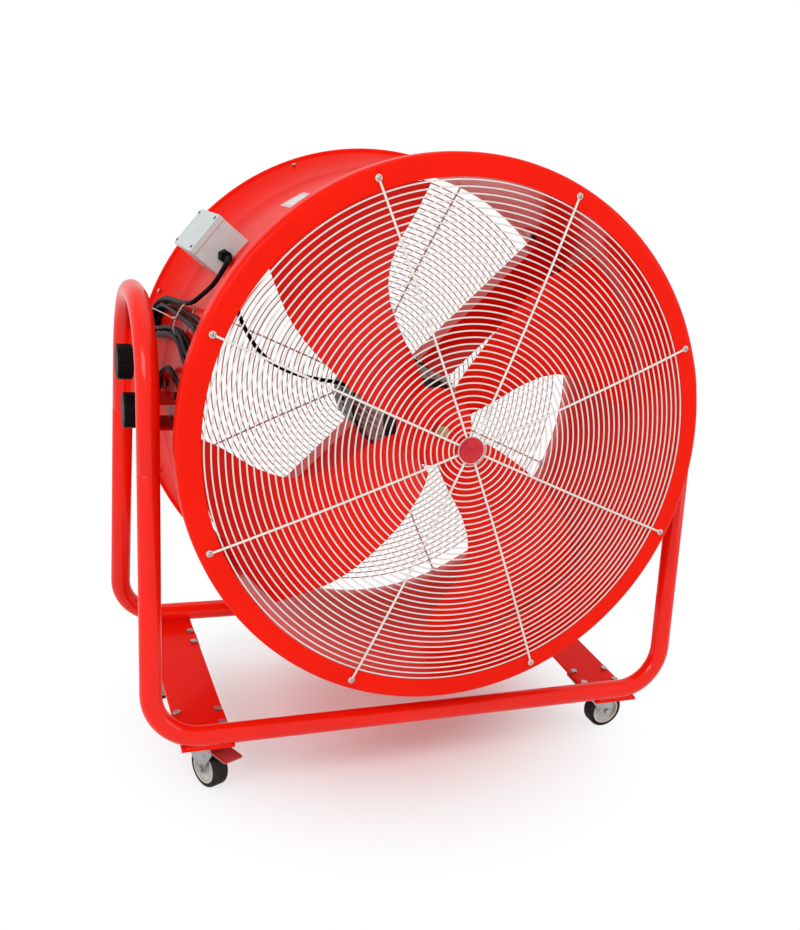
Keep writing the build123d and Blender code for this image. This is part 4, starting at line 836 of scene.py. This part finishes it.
def build_hardware():
    """Plates, brackets, studs, through bolts and knobs."""
    refined("pivot_plates", "drum_paint", "stand", 0.6)
    refined("caster_plates", "drum_paint", "stand", 0.8)
    refined("pivot_brackets", "drum_paint", "drum")
    refined("pivot_studs", "zinc", "drum")
    refined("drum_bolts", "black_paint", "drum")
    for side, sign in (("left", -1), ("right", 1)):
        for kind, (height, reach, radius) in KNOBS.items():
            knob = f"{kind}_knob_{side}"
            refined(knob, "black_moulding", knob, 1.0)
            build_knob_ring(knob, sign, height, reach, radius)


def build_knob_ring(knob, sign, height, reach, radius):
    """A thin bright ring let into a knob's outer face: a low ellipse spun about the knob's axis,
    cut off level with the face."""
    out, rise = (arc((radius, 0.0), 1.0, 0, 360, 9)[:-1] * (1.0, 0.45)).T
    turn = full_turn(48)[:, None]
    x = sign * np.minimum(reach - 0.2 + rise, reach) + 0 * turn
    ring = np.stack([x, out * np.cos(turn), height + out * np.sin(turn)], axis=-1)
    add_shape(knob + "_ring", to_fan(ring), "zinc", knob, wrap_rows=True)


# ---- electrics ------------------------------------------------------------------------------
def build_electrics():
    """Junction box, lid, gland, grommet and label film in their CAD shapes."""
    refined("junction_box", "box_moulding", "drum", 1.2)
    refined("junction_box_lid", "box_moulding", "drum", 1.4)
    refined("cable_gland", "black_moulding", "drum", 0.6)
    refined("lead_grommet", "cord_sheath", "drum", 0.4)
    refined("rating_plate", "label_film", "drum", 0.0)


def build_label_border():
    """A dark hairline round the blank label: a closed strip just proud of the film, wrapped round
    the skin by angle = middle + height / skin radius."""
    corners = np.array([(-1, -1), (1, -1), (1, 1), (-1, 1)]) * LABEL_HALF
    loop = np.concatenate([np.linspace(a, b, 14, endpoint=False)
                           for a, b in zip(corners, np.roll(corners, -1, axis=0))])
    inner = loop * (0.985, 0.96)
    strip = np.stack([loop, loop, inner, inner], axis=1)
    out = SKIN_R + np.array([0.80, 0.92, 0.92, 0.80])
    angle = LABEL_ANGLE + strip[..., 1] / SKIN_R
    grid = np.stack([out * np.cos(angle), strip[..., 0] + LABEL_Y, out * np.sin(angle)], axis=-1)
    add_shape("label_border", to_fan(grid), "label_frame", "drum", wrap_rows=True)


# ---- cords ----------------------------------------------------------------------------------
# Metres of the fan's frame: from the gland down the drum's side, four turns of the hank, then
# its loose end to the plug.
SUPPLY_ROUTE = [
    (-0.3722, -0.0313, 0.9565), (-0.3732, -0.0563, 0.9573), (-0.3832, -0.0762, 0.9458),
    (-0.3992, -0.0763, 0.9177), (-0.4114, -0.0361, 0.8914), (-0.4294, 0.0019, 0.8625),
    (-0.4482, 0.2476, 0.8366), (-0.474, 0.2414, 0.7509), (-0.4467, 0.0205, 0.8157),
    (-0.4591, -0.1874, 0.7841), (-0.4381, -0.1822, 0.855), (-0.4386, 0.0222, 0.8386),
    (-0.4483, 0.2344, 0.8265), (-0.4666, 0.23, 0.7669), (-0.4432, 0.0213, 0.826),
    (-0.4556, -0.1738, 0.7984), (-0.4278, -0.1698, 0.8529), (-0.4293, 0.0219, 0.8351),
    (-0.4389, 0.2341, 0.823), (-0.4569, 0.2298, 0.7646), (-0.4338, 0.021, 0.8227),
    (-0.4465, -0.1866, 0.7944), (-0.424, -0.1816, 0.8632), (-0.4253, 0.0227, 0.845),
    (-0.4389, 0.2474, 0.8329), (-0.4642, 0.2412, 0.749), (-0.4372, 0.0203, 0.8126),
    (-0.442, -0.0358, 0.8006), (-0.4445, -0.0873, 0.7953), (-0.449, -0.1076, 0.7777),
    (-0.4543, -0.1093, 0.755), (-0.4563, -0.0914, 0.7398), (-0.4561, -0.0269, 0.7442),
    (-0.4562, 0.0394, 0.7451), (-0.4619, 0.0919, 0.7225), (-0.4677, 0.1313, 0.6862)]
# Drum millimetres: the motor's lead from the skin to the motor, the tie round the hank, and the
# tie's loose end.
LEAD_ROUTE = [(-363.3, 70.0, 283.8), (-337.3, 70.0, 263.5), (-333, 74, 221), (-329, 80, 182),
              (-311, 82, 140), (-284, 84, 98), (-248, 83, 69), (-206, 74, 54), (-166, 57, 49),
              (-124.0, 45.0, 45.1), (-75.2, 45.0, 27.4)]
TIE_LOOP = [(-447.3, 10.0, 165.0), (-434.2, 10.0, 196.4), (-413.2, 10.0, 186.9),
            (-420.0, 10.0, 171.1), (-426.2, 10.0, 155.1), (-430.4, 10.0, 142.9),
            (-434.3, 10.0, 130.5), (-456.4, 10.0, 137.2), (-448.7, 10.0, 161.1)]
TIE_END = [(-450.1, 11.0, 162.7), (-457.3, 70.0, 163.2), (-467.3, 150.0, 161.9),
           (-479.6, 230.0, 161.6)]
TWIST_START = (-449.9, 9.3, 164.4)
TWIST_LENGTH = 7.0
TWIST_TURNS = 3
TIE_R = 1.2
LEAD_R = 4.0


def line_curve(name, routes, radius, sides=4):
    """A round cord on a smooth spline, one for each route, with its points as control points."""
    curve = bpy.data.curves.new(name, "CURVE")
    curve.dimensions = "3D"
    curve.bevel_depth = radius
    curve.bevel_resolution = sides
    curve.resolution_u = 10
    curve.use_fill_caps = True
    for route in routes:
        spline = curve.splines.new("NURBS")
        spline.points.add(len(route) - 1)
        weighted = np.hstack([np.asarray(route), np.ones((len(route), 1))])
        spline.points.foreach_set("co", weighted.ravel())
        spline.order_u = 3
        spline.use_endpoint_u = True
    return curve


def build_cords():
    """Supply cord with its hank and plug, motor lead and tie."""
    width = bpy.context.scene.drum_fan_sizes.cord_width
    supply = add_piece("supply_line", line_curve("supply_line", [SUPPLY_ROUTE], width / 2),
                       "cord_sheath", "drum", "supply_cord", "supply_hank")
    plug = refined("mains_plug", "black_moulding", "drum", 0.8)
    lead, loop, end = [to_fan(np.array(route)) for route in (LEAD_ROUTE, TIE_LOOP, TIE_END)]
    add_piece("motor_lead_line", line_curve("motor_lead_line", [lead], LEAD_R * MM),
              "cord_sheath", "drum", "motor_lead")
    add_piece("cord_tie_wire", line_curve("cord_tie_wire", [loop, end], TIE_R * MM, 2),
              "tie_wire", "drum", "cord_tie")


def build_tie_twist():
    """The tie's twist: two strands wound round each other, a circle carried on a double helix."""
    t = np.linspace(0, 1, 60)
    strands = []
    for phase in (0.0, np.pi):
        a = 2 * np.pi * TWIST_TURNS * t + phase
        helix = np.stack([TIE_R * np.cos(a), TWIST_LENGTH * t, TIE_R * np.sin(a)], axis=-1)
        tangents = unit(np.gradient(helix, axis=0))
        strands.append(swept(TWIST_START + helix, tangents, (0.0, 0.2, 1.0), TIE_R, 8))
    add_shape("cord_tie_twist", to_fan(np.stack(strands)), "tie_wire", "drum", crease=70)


# ---- stage ----------------------------------------------------------------------------------
CAMERA_SPOT = (-0.74676, -2.00993, 1.26024)
CAMERA_RIGHT = (0.91265322, -0.39151651, 0.11738371)
CAMERA_UP = (0.04047044, 0.37233541, 0.92721545)
CAMERA_FORWARD = (0.40672626, 0.8414756, -0.35565795)
CAMERA_LENS = 43.168
CAMERA_SHIFT = (-0.10505, 0.06925)
SURROUND = 0.62
FLOOR_REACH = 9.0
FLOOR_FADE = (0.1, 0.62)
# Each lamp's place, its length and width in metres, and its power in watts.
LAMPS = {"key": ((-2.6, -2.4, 3.0), (2.2, 1.6), 64), "fill": ((3.2, -2.2, 1.8), (2.0, 2.0), 26),
         "top": ((0.2, 0.6, 3.6), (2.6, 2.6), 8)}
LAMP_TARGET = Vector((0, 0, 0.6))


def build_camera():
    """The photograph's camera, for 800 by 930, with a slight shift for its crop."""
    data = bpy.data.cameras.new("camera")
    data.sensor_width = 36.0
    data.lens = CAMERA_LENS
    data.shift_x, data.shift_y = CAMERA_SHIFT
    data.clip_end = 60.0
    camera = link_object("camera", data)
    axes = zip(CAMERA_RIGHT, CAMERA_UP, [-c for c in CAMERA_FORWARD], CAMERA_SPOT)
    camera.matrix_world = Matrix([list(row) for row in axes] + [[0, 0, 0, 1]])
    bpy.context.scene.camera = camera


def seen_directly(tree):
    """1 for camera, glossy and transmission rays, else 0."""
    path = tree.nodes.new("ShaderNodeLightPath").outputs
    some = math_value(tree, "MAXIMUM", path["Is Camera Ray"], path["Is Glossy Ray"])
    return math_value(tree, "MAXIMUM", some, path["Is Transmission Ray"])


def build_world():
    """Soft grey light all round, white where the background is seen."""
    world = bpy.data.worlds.new("studio")
    world.use_nodes = True
    bpy.context.scene.world = world
    tree = world.node_tree
    feed(tree, tree.nodes["Background"], {
        "Color": (1, 1, 1, 1), "Strength": spread(tree, seen_directly(tree), SURROUND, 1.0)})


def build_floor():
    """A flat pale floor that fades to plain white away from the fan and keeps its shadow."""
    line = np.linspace(-FLOOR_REACH, FLOOR_REACH, 5)
    x, y = np.meshgrid(line, line, indexing="ij")
    mesh = surface("floor", np.stack([x, y, 0 * x], axis=-1), wrap_cols=False)
    link_object("floor", mesh)
    material, tree, shader = new_material("pale_floor")
    feed(tree, shader, {"Base Color": (0.94, 0.94, 0.94, 1), "Roughness": 0.6,
                        "Specular IOR Level": 0.2})
    far = wired(tree, "VectorMath", {0: own_place(tree)}, operation="LENGTH").outputs["Value"]
    fade = math_value(tree, "MULTIPLY", ramp(tree, far, *FLOOR_FADE), seen_directly(tree))
    glow = tree.nodes.new("ShaderNodeEmission").outputs["Emission"]
    blend = wired(tree, "MixShader", {"Fac": fade, 1: shader.outputs["BSDF"], 2: glow})
    tree.links.new(blend.outputs["Shader"], tree.nodes["Material Output"].inputs["Surface"])
    mesh.materials.append(material)


def build_lamps():
    """Three soft area lamps turned towards the fan's middle."""
    for name, (spot, size, power) in LAMPS.items():
        data = bpy.data.lights.new(name, "AREA")
        data.shape = "RECTANGLE"
        data.size, data.size_y = size
        data.energy = power
        aim = (LAMP_TARGET - Vector(spot)).to_track_quat("-Z", "Y").to_matrix().to_4x4()
        link_object(name, data).matrix_world = Matrix.Translation(spot) @ aim


# ---- add-on ---------------------------------------------------------------------------------
class FanSizes(bpy.types.PropertyGroup):
    """Sizes of the fan's round stock."""
    tube_radius: FloatProperty(
        name="Tube radius", description="Outer radius of the stand's tube",
        default=TUBE_R * MM, min=0.005, max=0.03, unit="LENGTH")
    ring_wire: FloatProperty(
        name="Ring wire", description="Width of the guards' ring wire",
        default=0.0027, min=0.001, max=0.006, unit="LENGTH")
    spoke_wire: FloatProperty(
        name="Spoke wire", description="Width of the guards' spoke wire",
        default=2 * SPOKE_R * MM, min=0.002, max=0.01, unit="LENGTH")
    cord_width: FloatProperty(
        name="Cord width", description="Outer width of the supply cord",
        default=0.0085, min=0.004, max=0.014, unit="LENGTH")


class FanColours(bpy.types.PropertyGroup):
    """Colours of the fan's main finishes."""
    paint: FloatVectorProperty(
        name="Paint", description="Gloss paint of drum, blades and stand",
        default=(0.92, 0.012, 0.003), size=3, min=0, max=1, subtype="COLOR")
    guard: FloatVectorProperty(
        name="Guard coat", description="White coat of the guards' wire",
        default=(0.82, 0.8, 0.75), size=3, min=0, max=1, subtype="COLOR")


class FAN_OT_stage(bpy.types.Operator):
    """Add the camera, floor, surround and lamps"""
    bl_idname = "drum_fan.stage"
    bl_label = "Stage"

    def execute(self, context):
        build_camera()
        build_world()
        build_floor()
        build_lamps()
        bpy.context.scene.view_settings.view_transform = "Standard"
        return {"FINISHED"}


class FAN_OT_cords(bpy.types.Operator):
    """Add the supply cord with its hank, tie and plug, and the motor's lead"""
    bl_idname = "drum_fan.cords"
    bl_label = "Cords"

    def execute(self, context):
        build_cords()
        build_tie_twist()
        return {"FINISHED"}


class FAN_OT_stand(bpy.types.Operator):
    """Add the stand's tubes and welds"""
    bl_idname = "drum_fan.stand"
    bl_label = "Stand"

    def execute(self, context):
        build_tubes()
        build_welds()
        return {"FINISHED"}


class FAN_OT_casters(bpy.types.Operator):
    """Add tyres, hubs, forks, pedals, top plates and their bolts"""
    bl_idname = "drum_fan.casters"
    bl_label = "Casters"

    def execute(self, context):
        build_casters()
        return {"FINISHED"}


class FAN_OT_drum(bpy.types.Operator):
    """Add the drum's skin, both rims and the spot welds"""
    bl_idname = "drum_fan.drum"
    bl_label = "Drum"

    def execute(self, context):
        build_drum()
        build_spot_welds()
        return {"FINISHED"}


class FAN_OT_guards(bpy.types.Operator):
    """Add both wire guards, their screws and the plain badge"""
    bl_idname = "drum_fan.guards"
    bl_label = "Guards"

    def execute(self, context):
        build_guard(-1, "front")
        build_eyes()
        build_guard(1, "rear")
        build_tabs()
        build_screws()
        build_badge()
        return {"FINISHED"}


class FAN_OT_impeller(bpy.types.Operator):
    """Add blades, hub, bolts and shaft"""
    bl_idname = "drum_fan.impeller"
    bl_label = "Impeller"

    def execute(self, context):
        build_blades()
        build_hub()
        return {"FINISHED"}


class FAN_OT_motor(bpy.types.Operator):
    """Add the motor, its insides and its strut"""
    bl_idname = "drum_fan.motor"
    bl_label = "Motor"

    def execute(self, context):
        build_motor()
        return {"FINISHED"}


class FAN_OT_hardware(bpy.types.Operator):
    """Add plates, brackets, studs, bolts and knobs"""
    bl_idname = "drum_fan.hardware"
    bl_label = "Side hardware"

    def execute(self, context):
        build_hardware()
        return {"FINISHED"}


class FAN_OT_electrics(bpy.types.Operator):
    """Add the junction box, gland, grommet and blank label"""
    bl_idname = "drum_fan.electrics"
    bl_label = "Electrics"

    def execute(self, context):
        build_electrics()
        build_label_border()
        return {"FINISHED"}


OPERATORS = (FAN_OT_stage, FAN_OT_cords, FAN_OT_stand, FAN_OT_casters, FAN_OT_drum, FAN_OT_guards,
             FAN_OT_impeller, FAN_OT_motor, FAN_OT_hardware, FAN_OT_electrics)


class FAN_PT_panel(bpy.types.Panel):
    """Lists the fan's sizes, colours and pieces"""
    bl_idname = "FAN_PT_panel"
    bl_label = "Drum Fan"
    bl_space_type = "VIEW_3D"
    bl_region_type = "UI"
    bl_category = "Drum Fan"

    def draw(self, context):
        for group in (context.scene.drum_fan_sizes, context.scene.drum_fan_colours):
            for key in group.__annotations__:
                self.layout.prop(group, key)
        for operator in OPERATORS:
            self.layout.operator(operator.bl_idname)


CLASSES = (FanSizes, FanColours, *OPERATORS, FAN_PT_panel)


def register():
    for cls in CLASSES:
        bpy.utils.register_class(cls)
    bpy.types.Scene.drum_fan_sizes = PointerProperty(type=FanSizes)
    bpy.types.Scene.drum_fan_colours = PointerProperty(type=FanColours)


def unregister():
    del bpy.types.Scene.drum_fan_colours
    del bpy.types.Scene.drum_fan_sizes
    for cls in reversed(CLASSES):
        bpy.utils.unregister_class(cls)


def main():
    register()
    bpy.ops.drum_fan.stage()
    bpy.ops.drum_fan.cords()
    bpy.ops.drum_fan.stand()
    bpy.ops.drum_fan.casters()
    bpy.ops.drum_fan.drum()
    bpy.ops.drum_fan.guards()
    bpy.ops.drum_fan.impeller()
    bpy.ops.drum_fan.motor()
    bpy.ops.drum_fan.hardware()
    bpy.ops.drum_fan.electrics()


if __name__ == "__main__":
    main()
